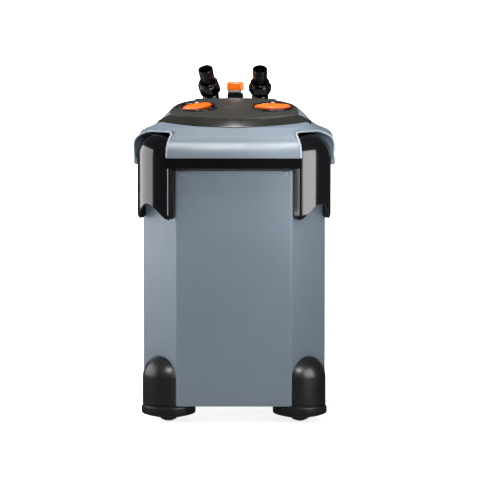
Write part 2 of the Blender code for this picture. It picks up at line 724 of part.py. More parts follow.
def lever():
    """The release lever: a black arm with an orange cap, on a steel pin."""
    axis = bpy.data.objects.new("lever_axis", None)
    PARTS.objects.link(axis)
    axis.location = (0, LEVER_Y, LEVER_PIVOT)
    arm = place("release_lever", boxes("release_lever", [((-ARM_HALF, -ARM_DEPTH, -ARM_DEPTH),
                                                          (ARM_HALF, ARM_DEPTH, ARM_TOP))]), SATIN,
                parent=axis)
    across = Matrix.Rotation(math.pi / 2, 4, "Y")
    bore = drum("arm_bore", LEVER_PIN_RADIUS + GAP, -0.02, 0.02, 16, across)
    boolean(arm, cutter("arm_bore", bore, axis))
    cap_outline = squircle(CAP_HALF, CAP_DEPTH, 5, 0, 360, 24)[:-1]
    rings = []
    for height, share in ((ARM_TOP + GAP, 1.0), (0.0232, 1.0), (0.0250, 0.95), (0.0258, 0.82)):
        rings.append([(x * share, y * share, height) for x, y in cap_outline])
    place("lever_cap", loft("lever_cap", rings), ORANGE, parent=axis)
    pin = drum("lever_pin", LEVER_PIN_RADIUS, -LEVER_PIN_HALF, LEVER_PIN_HALF, 16, across)
    place("lever_pin", pin, STEEL, parent=axis)


def bent_pipe(name, stations, inner):
    """A hollow pipe: each station is (distance along, lean in degrees, outer radius)."""
    outer_rings = []
    inner_rings = []
    point = Vector((0, 0, stations[0][0]))
    previous = stations[0]
    for station in stations:
        lean = math.radians((station[1] + previous[1]) / 2)
        point = point + Vector((0, -math.sin(lean), math.cos(lean))) * (station[0] - previous[0])
        tilt = Matrix.Rotation(math.radians(station[1]), 4, "X")
        for radius, rings in ((station[2], outer_rings), (inner, inner_rings)):
            rings.append([point + tilt @ Vector((radius * math.cos(a), radius * math.sin(a), 0))
                          for a in [2 * math.pi * i / PIPE_SIDES for i in range(PIPE_SIDES)]])
        previous = station
    shape = bmesh.new()
    rows = [[shape.verts.new(p) for p in ring] for ring in outer_rings + inner_rings[::-1]]
    rows.append(rows[0])
    for lower, upper in zip(rows, rows[1:]):
        for i in range(PIPE_SIDES):
            j = (i + 1) % PIPE_SIDES
            shape.faces.new((lower[i], lower[j], upper[j], upper[i]))
    return from_bmesh(name, shape), point


def hose_connectors():
    """On each port an elbow that swivels, with a hose tail that its union nut holds."""
    lean = math.degrees(TAIL_LEAN)
    elbow_stations = [(-0.0100, 0, 0.0080), (0.0, 0, 0.0080), (0.0002, 0, 0.0104), (0.0022, 0, 0.0104),
                      (0.0042, lean / 2, 0.0100), (0.0062, lean, 0.0100), (0.0078, lean, TAIL_RADIUS),
                      (0.0115, lean, TAIL_RADIUS)]
    hexagon = [(NUT_RADIUS * math.cos(math.radians(60 * i)), NUT_RADIUS * math.sin(math.radians(60 * i)))
               for i in range(6)]
    for side, sign in SIDES.items():
        swivel = bpy.data.objects.new(f"swivel_axis_{side}", None)
        PARTS.objects.link(swivel)
        swivel.location = (sign * PORT_X, PORT_Y, BLOCK_TOP + GAP)
        swivel.rotation_euler = (0, 0, LEFT_TAIL_TURN if side == "left" else 0)
        mesh, end = bent_pipe("port_elbow", elbow_stations, PIPE_BORE)
        place(f"port_elbow_{side}", mesh, GLOSS, parent=swivel)
        seat = bpy.data.objects.new(f"tail_axis_{side}", None)
        PARTS.objects.link(seat)
        seat.parent = swivel
        seat.location = end
        seat.rotation_euler = (TAIL_LEAN, 0, 0)
        profile = [(0.0118, NUT_TOP), (NUT_RADIUS, 0.0122), (NUT_RADIUS, -0.0008), (0.0118, NUT_LOW),
                   (0.0096, NUT_LOW), (0.0096, 0.0048), (0.0082, 0.0052), (0.0082, NUT_TOP)]
        nut = turned(f"union_nut_{side}", profile, GLOSS, 24, closed=True, parent=seat)
        flats = prism("nut_flats", hexagon, 2 * NUT_LOW, 2 * NUT_TOP)
        boolean(nut, cutter(f"nut_flats_{side}", flats, seat), "INTERSECT")
        tail = [(0.0074, TAIL_TOP), (TAIL_RADIUS, 0.0315), (TAIL_ROOT, 0.0285), (TAIL_RADIUS, 0.0280),
                (TAIL_ROOT, 0.0250), (TAIL_RADIUS, 0.0245), (0.0078, 0.0210), (0.0072, 0.0200),
                (0.0072, 0.0050), (TAIL_RADIUS, 0.0045), (TAIL_RADIUS, GAP), (PIPE_BORE, GAP),
                (PIPE_BORE, TAIL_TOP)]
        turned(f"hose_tail_{side}", tail, GLOSS, 16, closed=True, parent=seat)
        seal = [(TUBE_RADIUS, BLOCK_LOW - GAP), (TUBE_RADIUS, PORT_SEAL_LOW), (0.0060, PORT_SEAL_LOW),
                (0.0060, BLOCK_LOW - GAP)]
        ring = turned(f"port_seal_{side}", seal, RUBBER, 20, closed=True)
        ring.location = (sign * PORT_X, PORT_Y, 0)
        tube = [(TUBE_RADIUS, TUBE_TOP), (TUBE_RADIUS, TUBE_LOW), (TUBE_BORE, TUBE_LOW),
                (TUBE_BORE, TUBE_TOP)]
        riser = turned(f"port_tube_{side}", tube, SATIN, 20, closed=True)
        riser.location = (sign * PORT_X, PORT_Y, 0)


def pump():
    """The motor in the head and its impeller, shaft, bushes and cover below."""
    chamfer = 0.003
    housing = [(0, MOTOR_TOP), (MOTOR_RADIUS - chamfer, MOTOR_TOP), (MOTOR_RADIUS, MOTOR_TOP - chamfer),
               (MOTOR_RADIUS, MOTOR_LOW), (MAGNET_BORE, MOTOR_LOW), (MAGNET_BORE, 0.334), (0.0060, 0.334),
               (0.0060, 0.341), (0, 0.341)]
    turned("motor_housing", housing, SATIN, 24)
    magnet = [(MAGNET_RADIUS, 0.328), (MAGNET_RADIUS, 0.2910), (0.0160, 0.2905), (0.0160, 0.2870),
              (SHAFT_RADIUS + SEAM, 0.2870), (SHAFT_RADIUS + SEAM, 0.3280)]
    rotor = turned("impeller", magnet, SATIN, 24, closed=True)
    blades = bmesh.new()
    for i in range(BLADES):
        spin = Matrix.Rotation(2 * math.pi * i / BLADES, 4, "Z")
        matrix = spin @ Matrix.Translation((0.0165, 0, 0.2830)) @ Matrix.Diagonal((0.015, 0.002, 0.012, 1))
        bmesh.ops.create_cube(blades, size=1, matrix=matrix)
    boolean(rotor, cutter("blades", from_bmesh("blades", blades)), "UNION")
    place("impeller_shaft", drum("impeller_shaft", SHAFT_RADIUS, 0.2745, 0.3375, 16), CERAMIC)
    top_bush = [(0, 0.3406), (TOP_BUSH_RADIUS, 0.3406), (TOP_BUSH_RADIUS, 0.3300), (BUSH_BORE, 0.3300),
                (BUSH_BORE, 0.3380), (0, 0.3380)]
    turned("shaft_bush_top", top_bush, RUBBER, 20)
    low_bush = [(0, 0.2742), (BUSH_BORE, 0.2742), (BUSH_BORE, 0.2765), (LOW_BUSH_RADIUS, 0.2765),
                (LOW_BUSH_RADIUS, 0.2712), (0, 0.2712)]
    turned("shaft_bush_bottom", low_bush, RUBBER, 20)
    volute = [(0, 0.2708), (0.0110, 0.2708), (0.0110, 0.2735), (0.0260, 0.2735), (0.0260, VOLUTE_TOP),
              (VOLUTE_RADIUS, VOLUTE_TOP), (VOLUTE_RADIUS, VOLUTE_LOW), (0, VOLUTE_LOW)]
    cover = turned("impeller_cover", volute, SATIN, 24)
    inlets = bmesh.new()
    for i in range(6):
        spin = Matrix.Rotation(math.radians(60 * i + 30), 4, "Z")
        bmesh.ops.create_cone(inlets, cap_ends=True, segments=8, radius1=0.0042, radius2=0.0042,
                              depth=0.02, matrix=spin @ Matrix.Translation((0.018, 0, 0.27)))
    boolean(cover, cutter("inlets", from_bmesh("inlets", inlets)))


def media_stack():
    """Three baskets with their media, and the riser tube that passes them in one corner."""
    bore = RISER_RADIUS - RISER_WALL
    riser = [(RISER_RADIUS, RISER_TOP), (RISER_RADIUS, RISER_LOW), (bore, RISER_LOW), (bore, RISER_TOP)]
    tube = turned("intake_riser", riser, SATIN, 20, closed=True)
    tube.location = (-RISER_AT, RISER_AT, 0)
    at = Matrix.Translation((-RISER_AT, RISER_AT, 0))
    passage = cutter("riser_passage", drum("riser_passage", RISER_RADIUS + RISER_WALL, 0, 0.4, 20, at))
    slots = boxes("floor_slots", [((-0.085, y - 0.004, 0.0), (0.05, y + 0.004, 0.3))
                                  for y in [0.022 * i - 0.055 for i in range(6)]])
    fills = (("coarse_sponge", SPONGE), ("bio_media", BIO), ("fine_pad", FLEECE))
    for level, (media, material) in enumerate(fills):
        low = BASKET_FLOOR + level * BASKET_PITCH
        high = min(low + BASKET_PITCH - BASKET_STEP, BASKET_TOP)
        basket = place(f"media_basket_{level + 1}",
                       prism("media_basket", inset_octagon(BASKET_INSET), low, high), BASKET)
        inside = BASKET_INSET + BASKET_WALL
        hollow = prism("basket_hollow", inset_octagon(inside), low + BASKET_WALL, high + 0.01)
        boolean(basket, cutter(f"basket_hollow_{level}", hollow))
        boolean(basket, cutter(f"basket_slots_{level}", slots))
        boolean(basket, passage)
        filling = prism(media, inset_octagon(inside + MEDIA_GAP), low + BASKET_WALL + MEDIA_GAP,
                        high - MEDIA_HEADROOM)
        fill = place(media, filling, material)
        boolean(fill, passage)


def cable_gland():
    """The gland at the back of the head where the supply lead would enter."""
    gland = [(0.0040, 0.0170), (0.0062, 0.0150), (0.0075, 0.0100), (0.0100, 0.0095), (0.0100, 0.0010),
             (0.0058, 0.0010), (0.0058, -0.0060), (0.0032, -0.0060), (0.0032, 0.0170)]
    item = turned("cable_gland", gland, SATIN, 16, closed=True)
    item.location = (GLAND_X, GLAND_Y, GLAND_UP)
    item.rotation_euler = (math.radians(-90), 0, 0)


def smooth_round_parts():
    """Smooth shading where an edge is not sharp."""
    for item in PARTS.objects:
        if item.type == "MESH" and item.data.polygons:
            item.data.shade_smooth()
            item.data.set_sharp_from_angle(angle=math.radians(35))


def main():
    """Builds every part."""
    canister_body()
    feet()
    head_seal()
    head_base()
    clamps()
    side_grips()
    frame = console_frame()
    head_cover(frame)
    console(frame)
    valves(frame)
    hose_block()
    lever()
    hose_connectors()
    pump()
    media_stack()
    cable_gland()
    smooth_round_parts()


main()
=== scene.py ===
import json
import math

import bmesh
import bpy
from mathutils import Matrix, Vector
from mathutils.bvhtree import BVHTree


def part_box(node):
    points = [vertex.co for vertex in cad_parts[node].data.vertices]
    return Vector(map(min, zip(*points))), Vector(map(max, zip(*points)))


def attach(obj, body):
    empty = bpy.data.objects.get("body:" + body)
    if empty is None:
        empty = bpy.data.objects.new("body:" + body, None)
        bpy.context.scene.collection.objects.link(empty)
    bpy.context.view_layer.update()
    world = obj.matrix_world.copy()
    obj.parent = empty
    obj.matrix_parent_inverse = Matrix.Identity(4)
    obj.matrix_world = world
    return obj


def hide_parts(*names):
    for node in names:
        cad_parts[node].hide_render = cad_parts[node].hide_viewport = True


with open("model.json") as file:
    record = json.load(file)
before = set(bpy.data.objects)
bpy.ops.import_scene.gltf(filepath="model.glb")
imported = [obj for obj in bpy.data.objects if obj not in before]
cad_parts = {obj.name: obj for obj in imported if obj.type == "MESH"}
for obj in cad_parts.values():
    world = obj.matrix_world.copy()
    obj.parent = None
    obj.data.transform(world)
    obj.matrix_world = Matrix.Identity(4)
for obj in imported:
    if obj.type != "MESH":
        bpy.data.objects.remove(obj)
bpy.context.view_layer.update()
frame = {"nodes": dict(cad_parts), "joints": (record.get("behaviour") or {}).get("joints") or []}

NODES = frame["nodes"]
HOUSING = "housing"
CORNERS = {"front_left": 225, "front_right": 315, "back_right": 45, "back_left": 135}
SIDES = {"left": -1, "right": 1}

# Shape values that the design shares with its CAD, metres.
GAP = 0.0003
CHAMFER = 0.041
BODY_WALL = 0.0035
FOOT_OFFSET = 0.0795
FOOT_RADIUS = 0.0315
FOOT_DISC_RADIUS = 0.0328
FOOT_SPRING = 0.0530
FOOT_DOME = 0.0296
NOTCH_HALF = 0.0275
ARCH_TOP = 0.3506
ARCH_SPRING = 0.3250
ARCH_POWER = 5.0
POCKET_BACK = 0.114
BULGE_HALF = 0.098
COVER_WALL = 0.003
CONSOLE_SLOPE = math.radians(9.8)
ROOF_EDGE = Vector((0, -0.093, 0.3570))
CONSOLE_HALF = 0.078
CONSOLE_END = 0.030
CONSOLE_DEPTH = 0.119
TRIM_HALF = 0.093
TRIM_END = 0.037
TRIM_PROUD = 0.0065
BAND_SIDE = 0.1164
CLAMP_HALF = 0.0265
CLAMP_BACK = -0.0079
CLAMP_SIDE = 0.0101
CLAMP_EDGE = 0.003
CLAMP_CROWN = 36.6
DOME_POWER = 2.4
SCOOP_HALF = 0.025
SCOOP_HEIGHT = 0.0190
TAB_ROUND = 0.0026
TUCK_HEIGHT = 0.006
TUCK = 0.0022
KNOB_PLACE = (0.046, 0.063)
KNOB_LENGTH_HALF = 0.0225
KNOB_WIDTH_HALF = 0.0108
DISH_HOLE = 0.0253
PORT_PLACE = (0.0305, 0.052)
PORT_BORE = 0.0056
GLAND_PLACE = (0.045, 0.1035, 0.331)
CATCH_HEIGHT = 0.274
NUB_OFFSET = 0.0615
NUT_CORNER = 0.0140
TAIL_LEAN = math.radians(33)
LEFT_TAIL_TURN = math.radians(-17)
LEFT_KNOB_TURN = math.radians(42)


# Materials -----------------------------------------------------------------------------------

class Graph:
    """A small helper around one material's nodes."""

    def __init__(self, name):
        self.material = bpy.data.materials.new(name)
        self.material.use_nodes = True
        self.tree = self.material.node_tree
        self.shader = self.tree.nodes["Principled BSDF"]
        self.place = self.add("ShaderNodeTexCoord").outputs["Object"]

    def add(self, kind, **values):
        node = self.tree.nodes.new(kind)
        for key, value in values.items():
            setattr(node, key, value)
        return node

    def link(self, out, socket):
        self.tree.links.new(out, socket)

    def noise(self, scale, detail=3.0, roughness=0.5, stretch=None):
        texture = self.add("ShaderNodeTexNoise")
        texture.inputs["Scale"].default_value = scale
        texture.inputs["Detail"].default_value = detail
        texture.inputs["Roughness"].default_value = roughness
        source = self.place
        if stretch is not None:
            mapping = self.add("ShaderNodeMapping")
            mapping.inputs["Scale"].default_value = stretch
            self.link(source, mapping.inputs["Vector"])
            source = mapping.outputs["Vector"]
        self.link(source, texture.inputs["Vector"])
        return texture.outputs["Fac"]

    def cells(self, scale, feature="F1"):
        texture = self.add("ShaderNodeTexVoronoi", feature=feature)
        texture.inputs["Scale"].default_value = scale
        self.link(self.place, texture.inputs["Vector"])
        return texture.outputs["Distance"]

    def ranged(self, source, low, high, from_low=0.3, from_high=0.7):
        node = self.add("ShaderNodeMapRange")
        node.inputs["From Min"].default_value = from_low
        node.inputs["From Max"].default_value = from_high
        node.inputs["To Min"].default_value = low
        node.inputs["To Max"].default_value = high
        self.link(source, node.inputs["Value"])
        return node.outputs["Result"]

    def blend(self, factor, one, two):
        node = self.add("ShaderNodeMix", data_type="RGBA")
        self.link(factor, node.inputs["Factor"])
        for socket, value in ((node.inputs[6], one), (node.inputs[7], two)):
            if isinstance(value, tuple):
                socket.default_value = (*value, 1)
            else:
                self.link(value, socket)
        return node.outputs[2]

    def bump(self, source, distance, strength=1.0, below=None):
        node = self.add("ShaderNodeBump")
        node.inputs["Strength"].default_value = strength
        node.inputs["Distance"].default_value = distance
        self.link(source, node.inputs["Height"])
        if below is not None:
            self.link(below, node.inputs["Normal"])
        return node.outputs["Normal"]


def shaded(colour, share):
    """A colour made darker or lighter."""
    return tuple(min(1.0, channel * share) for channel in colour)


def plastic(name, colour, rough, grain, grain_depth, mottle=0.06, coat=0.0, scuffs=0.5, shine=0.5):
    """Moulded plastic: fine spark-erosion grain, slow colour drift, handling scuffs in the gloss."""
    graph = Graph(name)
    drift = graph.noise(9.0, 2.0)
    speck = graph.noise(1400.0, 1.0)
    base = graph.blend(graph.ranged(drift, 0, 1), shaded(colour, 1 - mottle), shaded(colour, 1 + mottle))
    fine = graph.blend(graph.ranged(speck, 0, 0.35), base, shaded(colour, 0.82))
    graph.link(fine, graph.shader.inputs["Base Color"])
    scuff = graph.noise(38.0, 6.0, 0.68, (1.0, 1.0, 0.35))
    gloss = graph.ranged(scuff, rough * (1 - 0.22 * scuffs), rough * (1 + 0.35 * scuffs), 0.35, 0.72)
    graph.link(gloss, graph.shader.inputs["Roughness"])
    sink = graph.bump(graph.noise(26.0, 1.0), 0.00035, 0.5)
    graph.link(graph.bump(graph.noise(grain, 2.0), grain_depth, 1.0, sink), graph.shader.inputs["Normal"])
    graph.shader.inputs["Specular IOR Level"].default_value = shine
    graph.shader.inputs["Coat Weight"].default_value = coat
    graph.shader.inputs["Coat Roughness"].default_value = 0.05
    return graph.material


def rubber(name, colour):
    """Soft rubber: dull, with a fine blotchy bloom."""
    graph = Graph(name)
    bloom = graph.noise(120.0, 5.0, 0.6)
    graph.link(graph.blend(graph.ranged(bloom, 0, 1), shaded(colour, 0.8), shaded(colour, 1.5)),
               graph.shader.inputs["Base Color"])
    graph.link(graph.ranged(bloom, 0.72, 0.92), graph.shader.inputs["Roughness"])
    graph.link(graph.bump(graph.noise(1500.0, 2.0), 0.00006), graph.shader.inputs["Normal"])
    return graph.material


def metal(name, colour, rough):
    """Ground metal with fine lines."""
    graph = Graph(name)
    lines = graph.noise(700.0, 3.0, 0.6, (0.06, 1.0, 1.0))
    graph.link(graph.blend(graph.ranged(lines, 0, 1), shaded(colour, 0.86), shaded(colour, 1.08)),
               graph.shader.inputs["Base Color"])
    graph.link(graph.ranged(lines, rough * 0.7, rough * 1.4), graph.shader.inputs["Roughness"])
    graph.link(graph.bump(lines, 0.00002), graph.shader.inputs["Normal"])
    graph.shader.inputs["Metallic"].default_value = 1.0
    return graph.material


def foam(name, colour, pores, depth):
    """Open foam, fleece or porous media."""
    graph = Graph(name)
    holes = graph.cells(pores)
    # The pores are painted darker than the foam: painted shade in the holes.
    graph.link(graph.blend(graph.ranged(holes, 0, 1, 0.1, 0.6), shaded(colour, 0.35), shaded(colour, 1.15)),
               graph.shader.inputs["Base Color"])
    graph.link(graph.ranged(graph.noise(pores, 3.0), 0.85, 1.0), graph.shader.inputs["Roughness"])
    graph.link(graph.bump(holes, depth), graph.shader.inputs["Normal"])
    return graph.material


BODY_GREY = (0.080, 0.101, 0.126)
M_BODY = plastic("body_plastic", BODY_GREY, 0.40, 2600.0, 0.00003, 0.05)
M_HEAD = plastic("head_plastic", (0.096, 0.119, 0.143), 0.33, 2600.0, 0.000022, 0.05)
# A lighter copy of the head plastic: a painted highlight along the lip bead of each arch.
M_LIP_HIGHLIGHT = plastic("lip_highlight_plastic", (0.22, 0.26, 0.29), 0.30, 2600.0, 0.00002, 0.04)
M_GLOSS = plastic("gloss_black", (0.0025, 0.0025, 0.0030), 0.15, 300.0, 0.000004, 0.2, 0.35)
M_SATIN = plastic("satin_black", (0.0055, 0.0055, 0.0062), 0.33, 2300.0, 0.00003, 0.15)
# A darker, duller copy of the satin black: painted shade for the band under the shell's overhang. The lever
# arm uses it too.
M_SHADED_BLACK = plastic("shaded_black", (0.0008, 0.0008, 0.0010), 0.38, 1800.0, 0.000006, 0.15, shine=0.08)
M_CONSOLE = plastic("console_plastic", (0.018, 0.018, 0.0160), 0.52, 3000.0, 0.00004, 0.10)
M_TRIM = plastic("trim_plastic", (0.013, 0.013, 0.0105), 0.27, 3000.0, 0.00003, 0.10)
M_DISH = plastic("dish_black", (0.010, 0.010, 0.011), 0.07, 200.0, 0.000003, 0.1, 0.6, 0.3)
M_ORANGE = plastic("orange_plastic", (0.600, 0.085, 0.001), 0.30, 500.0, 0.000006, 0.05, 0.25)
M_CAP = plastic("cap_plastic", (0.840, 0.135, 0.003), 0.22, 500.0, 0.000006, 0.05, 0.3)
M_RUBBER = rubber("rubber", (0.018, 0.018, 0.018))
M_STEEL = metal("steel", (0.66, 0.66, 0.68), 0.22)
M_BASKET = plastic("basket_plastic", (0.10, 0.105, 0.11), 0.5, 900.0, 0.00002, 0.08)
M_CERAMIC = plastic("ceramic", (0.82, 0.80, 0.76), 0.3, 900.0, 0.00001, 0.03)
M_SPONGE = foam("sponge", (0.05, 0.10, 0.20), 420.0, 0.0009)
M_FLEECE = foam("fleece", (0.84, 0.84, 0.82), 900.0, 0.0005)
M_BIO = foam("bio_media", (0.56, 0.48, 0.38), 150.0, 0.0012)


# Mesh tools ----------------------------------------------------------------------------------

def to_mesh(name, shape, face_out=True):
    """Turns a bmesh into a mesh."""
    if face_out:
        shape.normal_update()
        bmesh.ops.recalc_face_normals(shape, faces=shape.faces)
    mesh = bpy.data.meshes.new(name)
    shape.to_mesh(mesh)
    shape.free()
    return mesh


def add_piece(name, mesh, material, body, slot, *nodes, degrees=38.0):
    """Shows a mesh as a piece of the object that stands for some CAD nodes."""
    mesh.materials.clear()
    mesh.materials.append(material)
    mesh.shade_smooth()
    mesh.set_sharp_from_angle(angle=math.radians(degrees))
    piece = bpy.data.objects.new(name, mesh)
    bpy.context.scene.collection.objects.link(piece)
    weights = piece.modifiers.new("weights", "WEIGHTED_NORMAL")
    weights.keep_sharp = True
    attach(piece, body)
    if nodes:
        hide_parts(*nodes)
    return piece


def worked(mesh, *steps):
    """A mesh after modifiers, each given as (kind, {setting: value})."""
    item = bpy.data.objects.new("working", mesh)
    bpy.context.scene.collection.objects.link(item)
    for kind, settings in steps:
        modifier = item.modifiers.new(kind.lower(), kind)
        for key, value in settings.items():
            setattr(modifier, key, value)
    bpy.context.view_layer.update()
    graph = bpy.context.evaluated_depsgraph_get()
    result = bpy.data.meshes.new_from_object(item.evaluated_get(graph))
    bpy.data.objects.remove(item, do_unlink=True)
    return result


def carved(mesh, *others):
    """A mesh cut by, or joined with, others given as (mesh, operation)."""
    tools = []
    for other, operation in others:
        tool = bpy.data.objects.new("tool", other)
        bpy.context.scene.collection.objects.link(tool)
        tools.append(("BOOLEAN", {"operation": operation, "solver": "EXACT", "object": tool}))
    result = worked(mesh, *tools)
    for _, settings in tools:
        bpy.data.objects.remove(settings["object"], do_unlink=True)
    return result


def rounded(mesh, width, segments=3, degrees=40.0):
    """A mesh with its sharp edges rounded."""
    step = {"width": width, "segments": segments, "limit_method": "ANGLE",
            "angle_limit": math.radians(degrees), "use_clamp_overlap": True,
            "miter_outer": "MITER_ARC"}
    return worked(mesh, ("BEVEL", step))


def cad_mesh(node):
    """A CAD node's mesh with its flat faces whole again."""
    shape = bmesh.new()
    shape.from_mesh(NODES[node].data)
    bmesh.ops.remove_doubles(shape, verts=shape.verts, dist=0.000002)
    bmesh.ops.dissolve_limit(shape, angle_limit=math.radians(0.6), verts=shape.verts, edges=shape.edges)
    return to_mesh(node, shape)


def prism(name, outline, low, high, matrix=None):
    """An extruded outline of (x, y) points."""
    shape = bmesh.new()
    base = shape.faces.new([shape.verts.new((x, y, low)) for x, y in outline])
    raised = bmesh.ops.extrude_face_region(shape, geom=[base])
    moved = [item for item in raised["geom"] if isinstance(item, bmesh.types.BMVert)]
    bmesh.ops.translate(shape, vec=(0, 0, high - low), verts=moved)
    if matrix is not None:
        shape.transform(matrix)
    return to_mesh(name, shape)


def skin(name, rings, closed=False):
    """A skin over rings with the same number of points; closed joins the last ring to the first."""
    shape = bmesh.new()
    rows = [[shape.verts.new(point) for point in ring] for ring in rings]
    if closed:
        rows.append(rows[0])
    count = len(rows[0])
    for lower, upper in zip(rows, rows[1:]):
        for i in range(count):
            j = (i + 1) % count
            shape.faces.new((lower[i], lower[j], upper[j], upper[i]))
    if not closed:
        shape.faces.new(rows[0])
        shape.faces.new(rows[-1])
    return to_mesh(name, shape)


def turned(name, profile, sides=72, closed=True, matrix=None, wave=None):
    """A turned shape from a closed profile of (radius, height); wave changes a radius by angle."""
    rings = []
    for radius, height in profile:
        ring = []
        for i in range(sides):
            angle = 2 * math.pi * i / sides
            reach = radius if wave is None else wave(radius, angle)
            ring.append(Vector((reach * math.cos(angle), reach * math.sin(angle), height)))
        rings.append(ring)
    if matrix is not None:
        rings = [[matrix @ point for point in ring] for ring in rings]
    return skin(name, rings, closed=closed)


def filleted(outline, radius, steps=5):
    """A closed outline of (x, y) points with its corners turned to arcs."""
    points = [Vector(point) for point in outline]
    result = []
    for before, point, after in zip(points[-1:] + points[:-1], points, points[1:] + points[:1]):
        one = (before - point).normalized()
        two = (after - point).normalized()
        half = one.angle(two) / 2
        reach = min(radius / math.tan(half), (before - point).length * 0.49, (after - point).length * 0.49)
        start, end = point + one * reach, point + two * reach
        for i in range(steps + 1):
            t = i / steps
            result.append(tuple(start * (1 - t) ** 2 + point * 2 * t * (1 - t) + end * t ** 2))
    return result


def outset(outline, distance):
    """The same outline, with each side moved outwards."""
    points = [Vector(point) for point in outline]
    moved = []
    for before, point, after in zip(points[-1:] + points[:-1], points, points[1:] + points[:1]):
        one = (point - before).normalized()
        two = (after - point).normalized()
        first, second = Vector((one.y, -one.x)), Vector((two.y, -two.x))
        middle = (first + second).normalized()
        moved.append(tuple(point + middle * distance / max(middle.dot(first), 0.5)))
    return moved


def squircle(half_x, half_y, power, start, stop, count):
    """Points on a superellipse between two angles, in degrees."""
    points = []
    for i in range(count + 1):
        angle = math.radians(start + (stop - start) * i / count)
        c, s = math.cos(angle), math.sin(angle)
        points.append((half_x * math.copysign(abs(c) ** (2 / power), c),
                       half_y * math.copysign(abs(s) ** (2 / power), s)))
    return points


def bow(half, sagitta, count):
    """Points on a shallow arc from (-half, sagitta) through (0, 0) to (half, sagitta)."""
    radius = (half ** 2 + sagitta ** 2) / (2 * sagitta)
    reach = math.asin(half / radius)
    angles = [reach * (2 * i / count - 1) for i in range(count + 1)]
    return [(radius * math.sin(a), radius - radius * math.cos(a)) for a in angles]


def arc(centre, radius, start, stop, steps):
    """Points on an arc, angles in degrees."""
    angles = [math.radians(start + (stop - start) * i / steps) for i in range(steps + 1)]
    return [(centre[0] + radius * math.cos(a), centre[1] + radius * math.sin(a)) for a in angles]


def octagon(half, leg):
    """A square with its corners cut off."""
    near = half - leg
    points = [(half, -near), (half, near), (near, half), (-near, half)]
    return points + [(-x, -y) for x, y in points]


def corner_matrix(degrees, out=0.0, up=0.0):
    """The frame of a corner: Y outwards along the diagonal, X along the chamfer."""
    spin = Matrix.Rotation(math.radians(degrees - 90), 4, "Z")
    return spin @ Matrix.Translation((0, out, up))


def spline(points, per):
    """A smooth curve through points, as tuples of any length."""
    result = []
    for i in range(len(points) - 1):
        before = points[max(i - 1, 0)]
        one, two = points[i], points[i + 1]
        after = points[min(i + 2, len(points) - 1)]
        for step in range(per):
            t = step / per
            result.append(tuple(
                0.5 * (2 * b + (c - a) * t + (2 * a - 5 * b + 4 * c - d) * t ** 2
                       + (3 * b - a - 3 * c + d) * t ** 3)
                for a, b, c, d in zip(before, one, two, after)))
    result.append(tuple(points[-1]))
    return result


# The bucket and its feet ---------------------------------------------------------------------

def bucket():
    """The square bucket: soft chamfer edges, rolled lower edge and rim, catches for the clamps."""
    low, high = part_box("canister_body")
    half = high[0]
    floor, top = low[2], high[2]

    def ring(inset, height):
        leg = CHAMFER - inset * (2 - math.sqrt(2))
        outline = filleted(octagon(half - inset, leg), max(0.0024 - inset, 0.0012), 5)
        return [(x, y, height) for x, y in outline]

    rings = []
    for x, z in arc((0.003, floor + 0.003), 0.003, 270, 180, 5):
        rings.append(ring(x, z))
    rings.append(ring(0, top - 0.0012))
    rings += [ring(0.0004, top - 0.0004), ring(0.0012, top), ring(BODY_WALL - 0.0008, top)]
    rings += [ring(BODY_WALL, top - 0.0008), ring(BODY_WALL, floor + 0.006),
              ring(BODY_WALL + 0.0025, floor + BODY_WALL)]
    mesh = skin("bucket", rings)
    plane = (2 * half - CHAMFER) / math.sqrt(2)
    catches = bmesh.new()
    for degrees in CORNERS.values():
        size = Matrix.Diagonal((0.026, 0.008, 0.006, 1))
        place = corner_matrix(degrees, plane + 0.002, CATCH_HEIGHT)
        bmesh.ops.create_cube(catches, size=1, matrix=place @ size)
    mesh = carved(mesh, (rounded(to_mesh("catches", catches), 0.0012, 2), "UNION"))
    add_piece("bucket", mesh, M_BODY, HOUSING, "body_plastic", "canister_body", degrees=30)
    nubs = bmesh.new()
    for quarter in range(4):
        spin = Matrix.Rotation(math.radians(90 * quarter), 4, "Z")
        for x in (-NUB_OFFSET, NUB_OFFSET):
            place = spin @ Matrix.Translation((x, -half - 0.0003, top - 0.0038))
            bmesh.ops.create_cube(nubs, size=1, matrix=place @ Matrix.Diagonal((0.0062, 0.0016, 0.0052, 1)))
    add_piece("rim_nubs", rounded(to_mesh("rim_nubs", nubs), 0.0006, 2), M_HEAD, HOUSING, "body_plastic")


